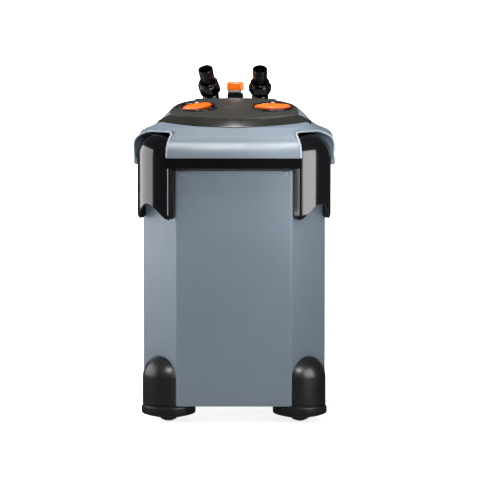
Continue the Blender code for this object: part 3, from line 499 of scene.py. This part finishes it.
def feet():
    """Domed feet: a column against the chamfer, a groove, a dished base, and a pad with a low tip."""
    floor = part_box("canister_body")[0][2]
    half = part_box("canister_body")[1][0]
    dome = [(FOOT_RADIUS * math.cos(math.radians(a)), FOOT_SPRING + FOOT_DOME * math.sin(math.radians(a)))
            for a in range(0, 90, 6)]
    profile = [(0.0001, 0.0034), (0.0095, 0.0034), (0.0105, 0.0038), (0.0185, 0.0056), (0.0255, 0.0072),
               (0.0305, 0.0088), (0.0321, 0.0098), (FOOT_DISC_RADIUS, 0.0112), (FOOT_DISC_RADIUS, 0.0172),
               (0.0325, 0.0184), (0.0318, 0.0190), (0.0311, 0.0190), (0.0308, 0.0194), (0.0308, 0.0202),
               (0.0313, 0.0206), (FOOT_RADIUS, 0.0212)] + dome + [(0.0001, FOOT_SPRING + FOOT_DOME)]
    outline = octagon(half + GAP, CHAMFER + GAP * (2 - math.sqrt(2)))
    for corner, degrees in CORNERS.items():
        angle = math.radians(degrees)
        place = Matrix.Translation((math.copysign(FOOT_OFFSET, math.cos(angle)),
                                    math.copysign(FOOT_OFFSET, math.sin(angle)), 0))
        mesh = turned("foot", profile, 80, closed=False, matrix=place)
        mesh = carved(mesh, (prism("clearance", outline, floor - GAP, 0.12), "DIFFERENCE"))
        add_piece(f"domed_foot_{corner}", mesh, M_SATIN, HOUSING, "satin_black", f"foot_{corner}",
                  degrees=28)
        pad = [(0.0001, 0.0), (0.0030, 0.0), (0.0044, 0.0003), (0.0066, 0.0012), (0.0070, 0.0018),
               (0.0074, 0.0015), (0.0090, 0.0022), (0.0098, 0.0027), (0.0098, 0.0031), (0.0001, 0.0031)]
        add_piece(f"rubber_pad_{corner}", turned("pad", pad, 40, closed=False, matrix=place), M_RUBBER,
                  HOUSING, "rubber", f"foot_pad_{corner}")


# The clamps ----------------------------------------------------------------------------------

def clamp_section():
    """The clamp's outer section as (u, n): straight sides, tight shoulders and a crowned front."""
    shoulder = arc((CLAMP_HALF - CLAMP_EDGE, CLAMP_SIDE), CLAMP_EDGE, 0, 90 - CLAMP_CROWN, 7)
    reach, height = shoulder[-1]
    radius = reach / math.sin(math.radians(CLAMP_CROWN))
    angles = [math.radians(CLAMP_CROWN * (1 - i / 9)) for i in range(1, 10)]
    drop = radius * math.cos(math.radians(CLAMP_CROWN))
    crown = [(radius * math.sin(a), height + radius * math.cos(a) - drop) for a in angles]
    sides = [(CLAMP_HALF, CLAMP_SIDE * share) for share in (0.0, 0.06, 0.14, 0.24, 0.4, 0.7)]
    right = sides + shoulder + crown
    return right + [(-u, n) for u, n in right[-2::-1]]


def tucked(u, n, height):
    """A point of the clamp's section, drawn inwards where it is close to the tabs' lower ends."""
    depth = max(1 - height / TUCK_HEIGHT, 0)
    inset = TUCK * (1 - math.sqrt(1 - depth ** 2))
    return u - math.copysign(min(inset, abs(u)), u), n - min(inset, n) * (n > CLAMP_SIDE)


def clamp_row(section, up, share):
    """The section at a share of the dome's height: narrower, and leaning back as on a barrel."""
    narrow = (1 - share ** DOME_POWER) ** (1 / DOME_POWER)
    deep = max(n for _, n in section)
    front = deep * math.sqrt(1 - share ** 2)
    side = max(front - (deep - CLAMP_SIDE), CLAMP_SIDE * 0.08 * (1 - share) + 0.0002)
    row = []
    for u, n in section:
        if n <= CLAMP_SIDE:
            lean = n * side / CLAMP_SIDE
        else:
            lean = side + (n - CLAMP_SIDE) * (front - side) / (deep - CLAMP_SIDE)
        row.append((u * narrow, lean, up))
    return row


def clamps():
    """Glossy corner clamps: hollow shells with a domed head and a finger scoop at the foot."""
    low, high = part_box("clamp_front_left")
    pivot = next(j for j in frame["joints"] if j["name"] == "clamp_front_left_hinge")["pos_m"]
    out = math.hypot(pivot[0], pivot[1])
    up = pivot[2]
    bottom = low[2] - up
    dome = high[2] - up
    section = clamp_section()
    shape = bmesh.new()
    rows = []
    heights = [(i / 40) ** 1.5 for i in range(41)]
    for level in heights:
        row = []
        for u, n in section:
            foot = max(TAB_ROUND - n, 0) ** 2 / TAB_ROUND
            if abs(u) < SCOOP_HALF and n > CLAMP_SIDE:
                foot = SCOOP_HEIGHT * math.cos(math.pi * u / (2 * SCOOP_HALF)) ** 1.15
            up_here = (bottom + foot) * (1 - level)
            row.append((*tucked(u, n, up_here - bottom), up_here))
        rows.append(row)
    for i in range(1, 16):
        share = math.sin(math.radians(90 * i / 16))
        rows.append(clamp_row(section, dome * share, share))
    rows = [[shape.verts.new((u, CLAMP_BACK + n, z)) for u, n, z in row] for row in rows]
    for lower, upper in zip(rows, rows[1:]):
        for i in range(len(section) - 1):
            shape.faces.new((lower[i], lower[i + 1], upper[i + 1], upper[i]))
    shape.faces.new(rows[-1])
    shell = to_mesh("clamp_shell", shape, False)
    solid = worked(shell, ("SOLIDIFY", {"thickness": 0.0026, "offset": -1.0}))
    solid = rounded(solid, 0.0007, 3, 55)
    for corner, degrees in CORNERS.items():
        mesh = solid.copy()
        mesh.transform(corner_matrix(degrees, out, up))
        body = f"clamp_{corner}_arm"
        add_piece(f"corner_clamp_{corner}", mesh, M_GLOSS, body, "gloss_black", f"clamp_{corner}",
                  degrees=50)
        hook = bmesh.new()
        size = Matrix.Diagonal((0.024, 0.017, 0.0035, 1))
        bmesh.ops.create_cube(hook, size=1, matrix=corner_matrix(degrees, out + 0.0020, up - 0.0553) @ size)
        add_piece(f"clamp_hook_{corner}", rounded(to_mesh("hook", hook), 0.0008, 2), M_GLOSS, body,
                  "gloss_black")
        NODES[f"clamp_pin_{corner}"].data.materials.clear()
        NODES[f"clamp_pin_{corner}"].data.materials.append(M_STEEL)


# The head ------------------------------------------------------------------------------------

TILT = Matrix.Translation(ROOF_EDGE) @ Matrix.Rotation(CONSOLE_SLOPE, 4, "X")


def console_outline(count=40):
    """The console's plan, in the tilted frame."""
    front = bow(CONSOLE_HALF, CONSOLE_END, count)
    back = squircle(CONSOLE_HALF, CONSOLE_DEPTH - CONSOLE_END, 2.6, 0, 180, 2 * count)
    return front + [(x, y + CONSOLE_END) for x, y in back[1:-1]]


def trim_outline(count=48):
    """The crescent in front of the console."""
    front = [(x, y - TRIM_PROUD) for x, y in bow(TRIM_HALF, TRIM_END, count)]
    inner = CONSOLE_HALF - 0.004
    return front + [(inner, TRIM_END + 0.004), (-inner, TRIM_END + 0.004)]


def cover_ring(half, radius, height, middle, steps=12, side=14):
    """A rounded square whose front and back pass through another depth in the middle."""
    points = []
    for quarter in range(4):
        centre = half - radius
        x = math.copysign(centre, math.cos(math.radians(90 * quarter + 45)))
        y = math.copysign(centre, math.sin(math.radians(90 * quarter + 45)))
        corner = arc((x, y), radius, 90 * quarter, 90 * quarter + 90, steps)
        points += corner
        turn = Matrix.Rotation(math.radians(90), 2)
        end, start = Vector(corner[-1]), turn @ Vector(corner[0])
        points += [tuple(end.lerp(start, i / side)) for i in range(1, side)]
    bulged = []
    for x, y in points:
        share = max(1 - (abs(x) / BULGE_HALF) ** 5, 0)
        if abs(y) > abs(x):
            y += math.copysign(1, y) * (middle - half) * share
        bulged.append((x, y, height))
    return bulged


def cover_rings():
    """The rings of the head's outer surface, from its lower edge to the top."""
    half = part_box("head_cover")[1][0] - 0.0008
    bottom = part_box("head_cover")[0][2]
    rows = [(half, 0.040, bottom, half), (half + 0.0005, 0.040, 0.3280, half - 0.0004),
            (half + 0.0008, 0.040, 0.3365, half - 0.0026), (half - 0.0014, 0.040, 0.3420, 0.1154),
            (0.1152, 0.040, 0.3460, 0.1118), (0.1040, 0.040, 0.3510, 0.1050),
            (0.0925, 0.038, 0.3590, 0.0955), (0.0848, 0.034, 0.3680, 0.0848),
            (0.0735, 0.030, 0.3775, 0.0735), (0.0660, 0.026, 0.3805, 0.0660)]
    rows = spline(rows, 5)
    for _ in range(6):
        rows = [rows[0]] + [tuple((a + 2 * b + c) / 4 for a, b, c in zip(*three))
                            for three in zip(rows, rows[1:], rows[2:])] + [rows[-1]]
    return [cover_ring(*row) for row in rows]


def cover_skin(closed=False):
    """The head's outer surface, with a flat sloping roof for the console."""
    shape = bmesh.new()
    rings = [[shape.verts.new(point) for point in ring] for ring in cover_rings()]
    count = len(rings[0])
    for lower, upper in zip(rings, rings[1:]):
        for i in range(count):
            j = (i + 1) % count
            shape.faces.new((lower[i], lower[j], upper[j], upper[i]))
    shape.faces.new(rings[-1])
    if closed:
        shape.faces.new(rings[0])
    cut = bmesh.ops.bisect_plane(shape, geom=shape.verts[:] + shape.edges[:] + shape.faces[:],
                                 plane_co=ROOF_EDGE, plane_no=TILT.to_3x3() @ Vector((0, 0, 1)),
                                 clear_outer=True)
    rim = [item for item in cut["geom_cut"] if isinstance(item, bmesh.types.BMEdge)]
    bmesh.ops.contextual_create(shape, geom=rim)
    return shape


def arch_outline(grow=0.0, count=40):
    """The arch over a clamp, as (u, z)."""
    half, top = NOTCH_HALF + grow, ARCH_TOP + grow
    curve = squircle(half, top - ARCH_SPRING, ARCH_POWER, 0, 180, count)
    return [(-half, 0.30), (half, 0.30)] + [(x, ARCH_SPRING + y) for x, y in curve]


def arch_walls(degrees):
    """The pocket behind an arch: its walls run inwards from the head's surface."""
    stand = corner_matrix(degrees) @ Matrix.Rotation(math.radians(90), 4, "X")
    wall = prism("arch_wall", arch_outline(0.0022), -0.19, -POCKET_BACK, stand)
    inside = prism("arch_inside", arch_outline(), -0.20, -POCKET_BACK + 0.01, stand)
    volume = to_mesh("head_volume", cover_skin(True))
    keep = prism("keep", octagon(0.2, 0.01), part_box("head_cover")[0][2], 0.5)
    return carved(wall, (inside, "DIFFERENCE"), (volume, "INTERSECT"), (keep, "INTERSECT"))


def cover_hollow():
    """The room inside the head's shell."""
    shape = cover_skin(True)
    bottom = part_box("head_cover")[0][2]
    narrow = 1 - COVER_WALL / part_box("head_cover")[1][0]
    for vert in shape.verts:
        drop = 3 * COVER_WALL if vert.co.z < bottom + GAP else COVER_WALL
        vert.co = (vert.co.x * narrow, vert.co.y * narrow, vert.co.z - drop)
    return to_mesh("cover_hollow", shape)


def head_cover():
    """The grey shell: arches over the clamps with a raised lip, and the opening of the console."""
    mesh = to_mesh("cover_volume", cover_skin(True))
    tree_shape = bmesh.new()
    tree_shape.from_mesh(mesh)
    tree = BVHTree.FromBMesh(tree_shape)
    tree_shape.free()
    tools = [(cover_hollow(), "DIFFERENCE")]
    for degrees in CORNERS.values():
        stand = corner_matrix(degrees) @ Matrix.Rotation(math.radians(90), 4, "X")
        tools.append((prism("arch", arch_outline(), -0.19, -0.09, stand), "DIFFERENCE"))
    for name, outline in (("console_hole", console_outline()), ("trim_hole", trim_outline())):
        tools.append((prism(name, outset(outline, 0.0005), -0.05, 0.05, TILT), "DIFFERENCE"))
    low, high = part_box("hose_block")
    hole = [(low[0] - 0.001, low[1] - 0.001), (high[0] + 0.001, low[1] - 0.001),
            (high[0] + 0.001, high[1] + 0.001), (low[0] - 0.001, high[1] + 0.001)]
    tools.append((prism("block_hole", filleted(hole, 0.003, 4), 0.35, 0.40), "DIFFERENCE"))
    gland_axis = Matrix.Translation((GLAND_PLACE[0], 0, GLAND_PLACE[2]))
    gland_axis @= Matrix.Rotation(math.radians(-90), 4, "X")
    gland_hole = prism("gland_hole", arc((0, 0), 0.0074, 0, 345, 23), 0.10, 0.14, gland_axis)
    tools.append((gland_hole, "DIFFERENCE"))
    mesh = carved(mesh, *tools)
    mesh = rounded(mesh, 0.0006, 2, 50)
    add_piece("head_shell", mesh, M_HEAD, HOUSING, "head_plastic", "head_cover", degrees=35)
    for corner, degrees in CORNERS.items():
        frame_of = corner_matrix(degrees)
        outward = frame_of.to_3x3() @ Vector((0, 1, 0))
        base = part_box("head_cover")[0][2] + 0.001
        path = []
        for u, z in arch_outline(0.0004, 60):
            if z < base:
                z = base
            hit = tree.ray_cast(frame_of @ Vector((u, 0.20, z)), -outward)[0]
            if hit is not None:
                path.append(hit - outward * 0.0009)
        path = path[1:] + path[:1]
        # The lip bead carries a painted highlight: it is drawn in the lighter copy of the head plastic.
        add_piece(f"arch_lip_{corner}", bead("arch_lip", path, 0.0011, 10), M_LIP_HIGHLIGHT, HOUSING, "head_plastic")
        add_piece(f"arch_pocket_{corner}", arch_walls(degrees), M_HEAD, HOUSING, "head_plastic", degrees=30)


def bead(name, path, radius, sides):
    """A thin round bead along a path."""
    rings = []
    for i, point in enumerate(path):
        ahead = (path[min(i + 1, len(path) - 1)] - path[max(i - 1, 0)]).normalized()
        side = ahead.cross(Vector((0, 0, 1)))
        if side.length < 0.2:
            side = ahead.cross(Vector((point.x, point.y, 0)).normalized())
        side.normalize()
        over = side.cross(ahead)
        if rings:
            first = rings[-1][0] - path[i - 1]
            side = (first - ahead * first.dot(ahead)).normalized()
            over = side.cross(ahead)
        rings.append([point + side * radius * math.cos(a) + over * radius * math.sin(a)
                      for a in [2 * math.pi * k / sides for k in range(sides)]])
    return skin(name, rings)


def head_trim():
    """The black band under the shell, the side grips and the console with its crescent."""
    low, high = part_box("head_base")
    sides = bmesh.new()
    for sign in SIDES.values():
        size = Matrix.Diagonal((0.02, 0.26, high[2] - low[2] + 0.004, 1))
        place = Matrix.Translation((sign * (BAND_SIDE + 0.01), 0, (low[2] + high[2]) / 2))
        bmesh.ops.create_cube(sides, size=1, matrix=place @ size)
    band = carved(cad_mesh("head_base"), (to_mesh("band_sides", sides), "DIFFERENCE"))
    # The band is drawn in the darker copy of the satin black, with the shade under the shell's overhang
    # painted in.
    add_piece("head_band", rounded(band, 0.0008, 2), M_SHADED_BLACK, HOUSING, "satin_black", "head_base")
    for side in SIDES:
        add_piece(f"grip_bar_{side}", rounded(cad_mesh(f"side_grip_{side}"), 0.0022, 4), M_HEAD, HOUSING,
                  "head_plastic", f"side_grip_{side}")
    tools = []
    for sign in SIDES.values():
        hole = arc((sign * KNOB_PLACE[0], KNOB_PLACE[1]), DISH_HOLE, 0, 360 - 360 / 72, 71)
        tools.append((prism("dish_hole", hole, -0.005, 0.03, TILT), "DIFFERENCE"))
    top = prism("console", console_outline(), -0.012, 0.010, TILT)
    hollow = prism("console_hollow", outset(console_outline(), -0.003), -0.017, 0.007, TILT)
    top = carved(top, (hollow, "DIFFERENCE"), *tools)
    add_piece("console_top", rounded(top, 0.0013, 3), M_CONSOLE, HOUSING, "console_plastic", "console",
              degrees=30)
    add_piece("console_crescent", crescent(), M_TRIM, HOUSING, "console_plastic", "console_trim",
              degrees=30)


def crescent():
    """The sloping wall in front of the console, which runs out into two horns."""
    outer = [(x, y - TRIM_PROUD) for x, y in bow(TRIM_HALF, TRIM_END, 60)]
    inner = outset(console_outline(60), GAP)[:61]
    rings = []
    for (x, y), (inside_x, inside_y) in zip(outer, inner):
        fall = 0.0088 * (1 - abs(x) / TRIM_HALF * 0.15)
        leg = Vector((x - inside_x, y - inside_y))
        points = [(inside_x, inside_y, -0.010), (inside_x, inside_y, fall - 0.0004),
                  (inside_x + leg.x * 0.05, inside_y + leg.y * 0.05, fall)]
        for share in (0.2, 0.4, 0.6, 0.8, 0.94):
            drop = fall - (fall - 0.0002) * share ** 1.15
            points.append((inside_x + leg.x * (0.05 + 0.93 * share), inside_y + leg.y * (0.05 + 0.93 * share),
                           drop))
        points += [(x, y, -0.0004), (x, y, -0.010)]
        rings.append([TILT @ Vector(point) for point in points])
    return skin("crescent", rings)


def valves():
    """Mirror-black dishes, each with a leaf-shaped orange knob that has a ridge along it."""
    for side, sign in SIDES.items():
        place = TILT @ Matrix.Translation((sign * KNOB_PLACE[0], KNOB_PLACE[1], 0))
        bowl = [(0.0055, -0.0015), (0.0200, -0.0015), (0.0245, 0.0010), (0.0250, 0.0020), (0.0250, 0.0104),
                (0.0252, 0.0110), (0.0251, 0.0116), (0.0247, 0.0120), (0.0241, 0.0120), (0.0235, 0.0115),
                (0.0231, 0.0100), (0.0227, 0.0075), (0.0220, 0.0050), (0.0205, 0.0028), (0.0180, 0.0014),
                (0.0120, 0.0008), (0.0055, 0.0006)]
        add_piece(f"glossy_dish_{side}", turned("dish", bowl, 96, matrix=place), M_DISH, HOUSING,
                  "dish_black", f"valve_dish_{side}", degrees=60)
        turn = LEFT_KNOB_TURN if side == "left" else 0.0
        rings = []
        for height, share in ((0.0016, 0.60), (0.0024, 0.66), (0.0055, 0.84), (0.0080, 0.955),
                              (0.0098, 0.99), (0.0110, 0.985), (0.0120, 0.945), (0.0128, 0.86),
                              (0.0134, 0.72), (0.0138, 0.54), (0.0141, 0.30), (0.0142, 0.08)):
            ring = []
            for i in range(64):
                angle = 2 * math.pi * i / 64
                c, s = math.cos(angle), math.sin(angle)
                x = KNOB_LENGTH_HALF * share * c
                y = KNOB_WIDTH_HALF * share * math.copysign(abs(s) ** 1.3, s)
                ridge = 0.0007 * math.exp(-(y / 0.0016) ** 2) * (1 - share) ** 0.5
                ring.append((x, y, height + ridge))
            rings.append(ring)
        mesh = skin("knob", rings)
        mesh.transform(place @ Matrix.Rotation(turn, 4, "Z"))
        add_piece(f"orange_knob_{side}", mesh, M_ORANGE, f"knob_{side}", "orange", f"valve_knob_{side}",
                  degrees=60)


def lever():
    """The hose block and the release lever with a bright band under its orange cap."""
    add_piece("quick_release_block", rounded(cad_mesh("hose_block"), 0.0012, 3), M_GLOSS, "block",
              "gloss_black", "hose_block")
    arm = cad_mesh("release_lever")
    arm.transform(Matrix.Diagonal((1.07, 1, 1, 1)))
    add_piece("lever_arm", rounded(arm, 0.0012, 3), M_SHADED_BLACK, "lever", "satin_black", "release_lever")
    low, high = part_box("release_lever")
    middle = (low[1] + high[1]) / 2
    sleeve = []
    for grow, height in ((0.0001, -0.0030), (0.0007, -0.0026), (0.0008, -0.0012), (0.0007, 0.0),
                         (0.0001, 0.0001)):
        outline = squircle(high[0] + grow, (high[1] - low[1]) / 2 + grow, 6, 0, 360, 64)[:-1]
        arch = 0.0008 if height < -0.002 else 0
        sleeve.append([(x, y + middle, high[2] + height - arch * (x / high[0]) ** 2) for x, y in outline])
    add_piece("lever_band", skin("lever_band", sleeve), M_STEEL, "lever", "steel")
    low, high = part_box("lever_cap")
    tall = high[2] - low[2]
    rings = []
    for share, height in ((0.90, 0.0), (0.965, 0.02), (1.0, 0.10), (1.0, 0.70), (0.985, 0.82),
                          (0.945, 0.91), (0.87, 0.97), (0.72, 1.0), (0.4, 1.005), (0.1, 1.005)):
        outline = squircle(high[0] * share, (high[1] - low[1]) / 2 * share, 4.5, 0, 360, 72)[:-1]
        rings.append([(x, y + middle, low[2] + tall * height * 0.995) for x, y in outline])
    add_piece("lever_orange_cap", skin("lever_cap", rings), M_CAP, "lever", "orange", "lever_cap",
              degrees=50)


# The hose connectors -------------------------------------------------------------------------

def elbow_mesh(place):
    """A short bent pipe; returns its mesh and the frame of its upper end."""
    lean = math.degrees(TAIL_LEAN)
    stations = [(-0.0100, 0, 0.0078), (-0.0096, 0, 0.0080), (0.0, 0, 0.0080), (0.0002, 0, 0.0101),
                (0.0006, 0, 0.0104), (0.0018, 0, 0.0104)]
    stations += [(0.0022 + 0.0040 * i / 6, lean * i / 6, 0.0104 - 0.0004 * i / 6) for i in range(1, 7)]
    stations += [(0.0070, lean, 0.0097), (0.0076, lean, 0.0091), (0.0111, lean, 0.0090),
                 (0.0115, lean, 0.0086)]
    outer, inner = [], []
    point = Vector((0, 0, stations[0][0]))
    previous = stations[0]
    for station in stations:
        angle = math.radians((station[1] + previous[1]) / 2)
        point = point + Vector((0, -math.sin(angle), math.cos(angle))) * (station[0] - previous[0])
        tilt = Matrix.Rotation(math.radians(station[1]), 4, "X")
        for radius, rings in ((station[2], outer), (PORT_BORE, inner)):
            circle = [(radius * math.cos(a), radius * math.sin(a), 0)
                      for a in [2 * math.pi * i / 64 for i in range(64)]]
            rings.append([place @ (point + tilt @ Vector(p)) for p in circle])
        previous = station
    return skin("elbow", outer + inner[::-1], closed=True), point


def six_sided(radius, angle):
    """The six flats of a union nut, with a narrow rib along each corner."""
    turn = math.radians(60)
    away = angle % turn - turn / 2
    flat = NUT_CORNER * math.cos(turn / 2) / math.cos(away)
    corner = turn / 2 - abs(away)
    rib = 0.0006 * math.exp(-(corner / 0.055) ** 4)
    return min(radius, min(flat, NUT_CORNER - 0.0005) + rib)


def connectors():
    """Elbows, ribbed union nuts and barbed hose tails."""
    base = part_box("hose_block")[1][2] + GAP
    nut = [(0.0096, -0.0032), (0.0110, -0.0032), (0.0114, -0.0029), (0.0122, -0.0018), (0.0130, -0.0008),
           (0.0138, 0.0002), (0.0150, 0.0012), (0.0150, 0.0082), (0.0138, 0.0090), (0.0132, 0.0096),
           (0.0124, 0.0100), (0.0120, 0.0108), (0.0118, 0.0126), (0.0118, 0.0134), (0.0115, 0.0139),
           (0.0110, 0.0140), (0.0105, 0.0138),
           (0.0102, 0.0130), (0.0094, 0.0122), (0.0083, 0.0120), (0.0082, 0.0052), (0.0096, 0.0048)]
    tail = [(0.0056, GAP), (0.0090, GAP), (0.0090, 0.0045), (0.0076, 0.0047), (0.0074, 0.0060),
            (0.0076, 0.0120), (0.0078, 0.0150), (0.0079, 0.0176), (0.0080, 0.0186), (0.0086, 0.0196),
            (0.0090, 0.0202), (0.0091, 0.0208), (0.0091, 0.0232), (0.0089, 0.0236), (0.0089, 0.0239),
            (0.0091, 0.0243), (0.0091, 0.0264), (0.0089, 0.0268), (0.0089, 0.0271), (0.0091, 0.0275),
            (0.0091, 0.0298), (0.0089, 0.0302), (0.0089, 0.0305), (0.0092, 0.0309), (0.0092, 0.0320),
            (0.0090, 0.0324), (0.0084, 0.0325), (0.0078, 0.0324), (0.0075, 0.0318), (0.0074, 0.0300),
            (0.0073, 0.0220), (0.0056, 0.0190)]
    for side, sign in SIDES.items():
        turn = LEFT_TAIL_TURN if side == "left" else 0.0
        place = Matrix.Translation((sign * PORT_PLACE[0], PORT_PLACE[1], base))
        place @= Matrix.Rotation(turn, 4, "Z")
        mesh, end = elbow_mesh(place)
        add_piece(f"swivel_elbow_{side}", mesh, M_GLOSS, f"swivel_{side}", "gloss_black",
                  f"port_elbow_{side}", degrees=50)
        seat = place @ Matrix.Translation(end) @ Matrix.Rotation(TAIL_LEAN, 4, "X")
        add_piece(f"union_nut_shell_{side}", turned("nut", nut, 168, matrix=seat, wave=six_sided), M_GLOSS,
                  f"nut_{side}", "gloss_black", f"union_nut_{side}", degrees=50)
        add_piece(f"barbed_tail_{side}", turned("tail", tail, 72, matrix=seat), M_GLOSS,
                  f"swivel_{side}", "gloss_black", f"hose_tail_{side}", degrees=50)


def gland():
    """The ribbed gland at the back of the head."""
    profile = [(0.0032, -0.0060), (0.0058, -0.0060), (0.0058, 0.0010), (0.0098, 0.0010), (0.0100, 0.0014),
               (0.0100, 0.0092), (0.0096, 0.0096), (0.0075, 0.0100), (0.0072, 0.0118), (0.0068, 0.0122),
               (0.0068, 0.0130), (0.0066, 0.0136), (0.0062, 0.0140), (0.0061, 0.0150), (0.0056, 0.0160),
               (0.0046, 0.0168), (0.0038, 0.0170), (0.0032, 0.0166)]
    place = Matrix.Translation(GLAND_PLACE) @ Matrix.Rotation(math.radians(-90), 4, "X")
    add_piece("lead_gland", turned("gland", profile, 48, matrix=place), M_SATIN, HOUSING, "satin_black",
              "cable_gland")


INNER = {
    "head_seal": M_RUBBER, "motor_housing": M_SATIN, "impeller": M_SATIN, "impeller_cover": M_SATIN,
    "impeller_shaft": M_CERAMIC, "shaft_bush_top": M_RUBBER, "shaft_bush_bottom": M_RUBBER,
    "intake_riser": M_SATIN, "coarse_sponge": M_SPONGE, "fine_pad": M_FLEECE, "bio_media": M_BIO,
    "media_basket_1": M_BASKET, "media_basket_2": M_BASKET, "media_basket_3": M_BASKET,
    "port_seal_left": M_RUBBER, "port_seal_right": M_RUBBER, "port_tube_left": M_SATIN,
    "port_tube_right": M_SATIN, "valve_rotor_left": M_SATIN, "valve_rotor_right": M_SATIN,
    "lever_pin": M_STEEL,
}


def inner_parts():
    """The parts inside keep their CAD shape and get their material."""
    for node, material in INNER.items():
        NODES[node].data.materials.clear()
        NODES[node].data.materials.append(material)


# Stage ---------------------------------------------------------------------------------------

def paper(name, glow):
    """White paper that glows a little, so that no shadow on it gets dark."""
    graph = Graph(name)
    grain = graph.noise(60.0, 3.0)
    pale = graph.blend(graph.ranged(grain, 0, 1), (0.86, 0.86, 0.86), (0.88, 0.88, 0.88))
    graph.link(pale, graph.shader.inputs["Base Color"])
    graph.link(pale, graph.shader.inputs["Emission Color"])
    graph.shader.inputs["Emission Strength"].default_value = glow
    graph.shader.inputs["Roughness"].default_value = 0.9
    return graph.material


def stage_sheet(name, rows, glow, closed=False):
    """One stage object from rows of points."""
    shape = bmesh.new()
    rows = [[shape.verts.new(point) for point in row] for row in rows]
    for lower, upper in zip(rows, rows[1:]):
        for i in range(len(lower) if closed else len(lower) - 1):
            j = (i + 1) % len(lower)
            shape.faces.new((lower[i], lower[j], upper[j], upper[i]))
    mesh = to_mesh(name, shape, False)
    mesh.shade_smooth()
    mesh.materials.append(paper(name + "_paper", glow))
    sheet = bpy.data.objects.new(name, mesh)
    sheet.visible_glossy = False
    bpy.context.scene.collection.objects.link(sheet)
    return sheet


def stage():
    """A pale floor that curves up behind the object, inside a white room that lights nothing."""
    profile = [(-0.75, 0.0), (0.6, 0.0)]
    profile += [(0.6 + 0.8 * math.sin(a), 0.8 - 0.8 * math.cos(a)) for a in
                [math.radians(70 * i / 12) for i in range(1, 13)]]
    stage_sheet("floor", [[(x, y, z) for x in (-1.6, 1.6)] for y, z in profile], 0.95)
    rings = [(0.3, -0.004), (6.0, -0.004), (7.0, 0.3), (7.6, 1.2), (7.8, 6.0)]
    count = 48
    turns = [2 * math.pi * i / count for i in range(count)]
    room = stage_sheet("room", [[(r * math.cos(a), r * math.sin(a), z) for a in turns] for r, z in rings],
                       1.12, closed=True)
    room.visible_diffuse = False
    room.visible_shadow = False


def softbox(name, place, aim, size, power, glossy=True, diffuse=True):
    """A rectangular area light that can be left out of reflections or of diffuse light."""
    light = bpy.data.lights.new(name, "AREA")
    light.shape = "RECTANGLE"
    light.size, light.size_y = size
    light.energy = power
    item = bpy.data.objects.new(name, light)
    item.location = place
    item.rotation_euler = (Vector(aim) - Vector(place)).to_track_quat("-Z", "Y").to_euler()
    item.visible_camera = False
    item.visible_glossy = glossy
    item.visible_diffuse = diffuse
    bpy.context.scene.collection.objects.link(item)


def lights():
    """Soft light from above and near both sides, and boxes that only the gloss shows."""
    world = bpy.data.worlds.new("studio")
    bpy.context.scene.world = world
    world.use_nodes = True
    world.node_tree.nodes["Background"].inputs["Color"].default_value = (1, 1, 1, 1)
    world.node_tree.nodes["Background"].inputs["Strength"].default_value = 0.045
    softbox("overhead", (0.0, 0.15, 1.7), (0, 0.1, 0), (1.9, 1.6), 42, glossy=False)
    softbox("top_front", (0.0, -0.25, 1.4), (0, -0.1, 0.35), (0.9, 0.7), 27, glossy=False)
    softbox("near_right", (0.14, -0.24, 0.32), (0.06, -0.11, 0.29), (0.10, 0.18), 0.6, glossy=False)
    softbox("near_left", (-0.25, -0.17, 0.28), (-0.09, -0.09, 0.23), (0.10, 0.18), 0.4, glossy=False)
    softbox("front_strip", (0.0, -1.05, 0.90), (0, -0.1, 0.35), (0.34, 0.30), 9.0, diffuse=False)
    softbox("right_box", (0.52, -0.54, 0.34), (0.08, -0.08, 0.30), (0.52, 0.44), 5.1, diffuse=False)
    softbox("left_box", (-0.72, 0.0, 0.35), (-0.1, -0.05, 0.30), (0.80, 0.46), 4.2)


def camera():
    """A long lens in front, a little above the object's middle."""
    distance, azimuth, height = 4.5, math.radians(0.7), 0.55
    lens = bpy.data.cameras.new("camera")
    lens.sensor_width = 36.0
    lens.lens = 275.3
    lens.clip_end = 50
    item = bpy.data.objects.new("camera", lens)
    item.location = (distance * math.sin(azimuth), -distance * math.cos(azimuth), height)
    aim = Vector((0.0062, 0, 0.2132))
    item.rotation_euler = (aim - item.location).to_track_quat("-Z", "Y").to_euler()
    bpy.context.scene.collection.objects.link(item)
    bpy.context.scene.camera = item
    bpy.context.scene.view_settings.view_transform = "Standard"


camera()
bucket()
feet()
clamps()
head_cover()
head_trim()
valves()
lever()
connectors()
gland()
inner_parts()
stage()
lights()
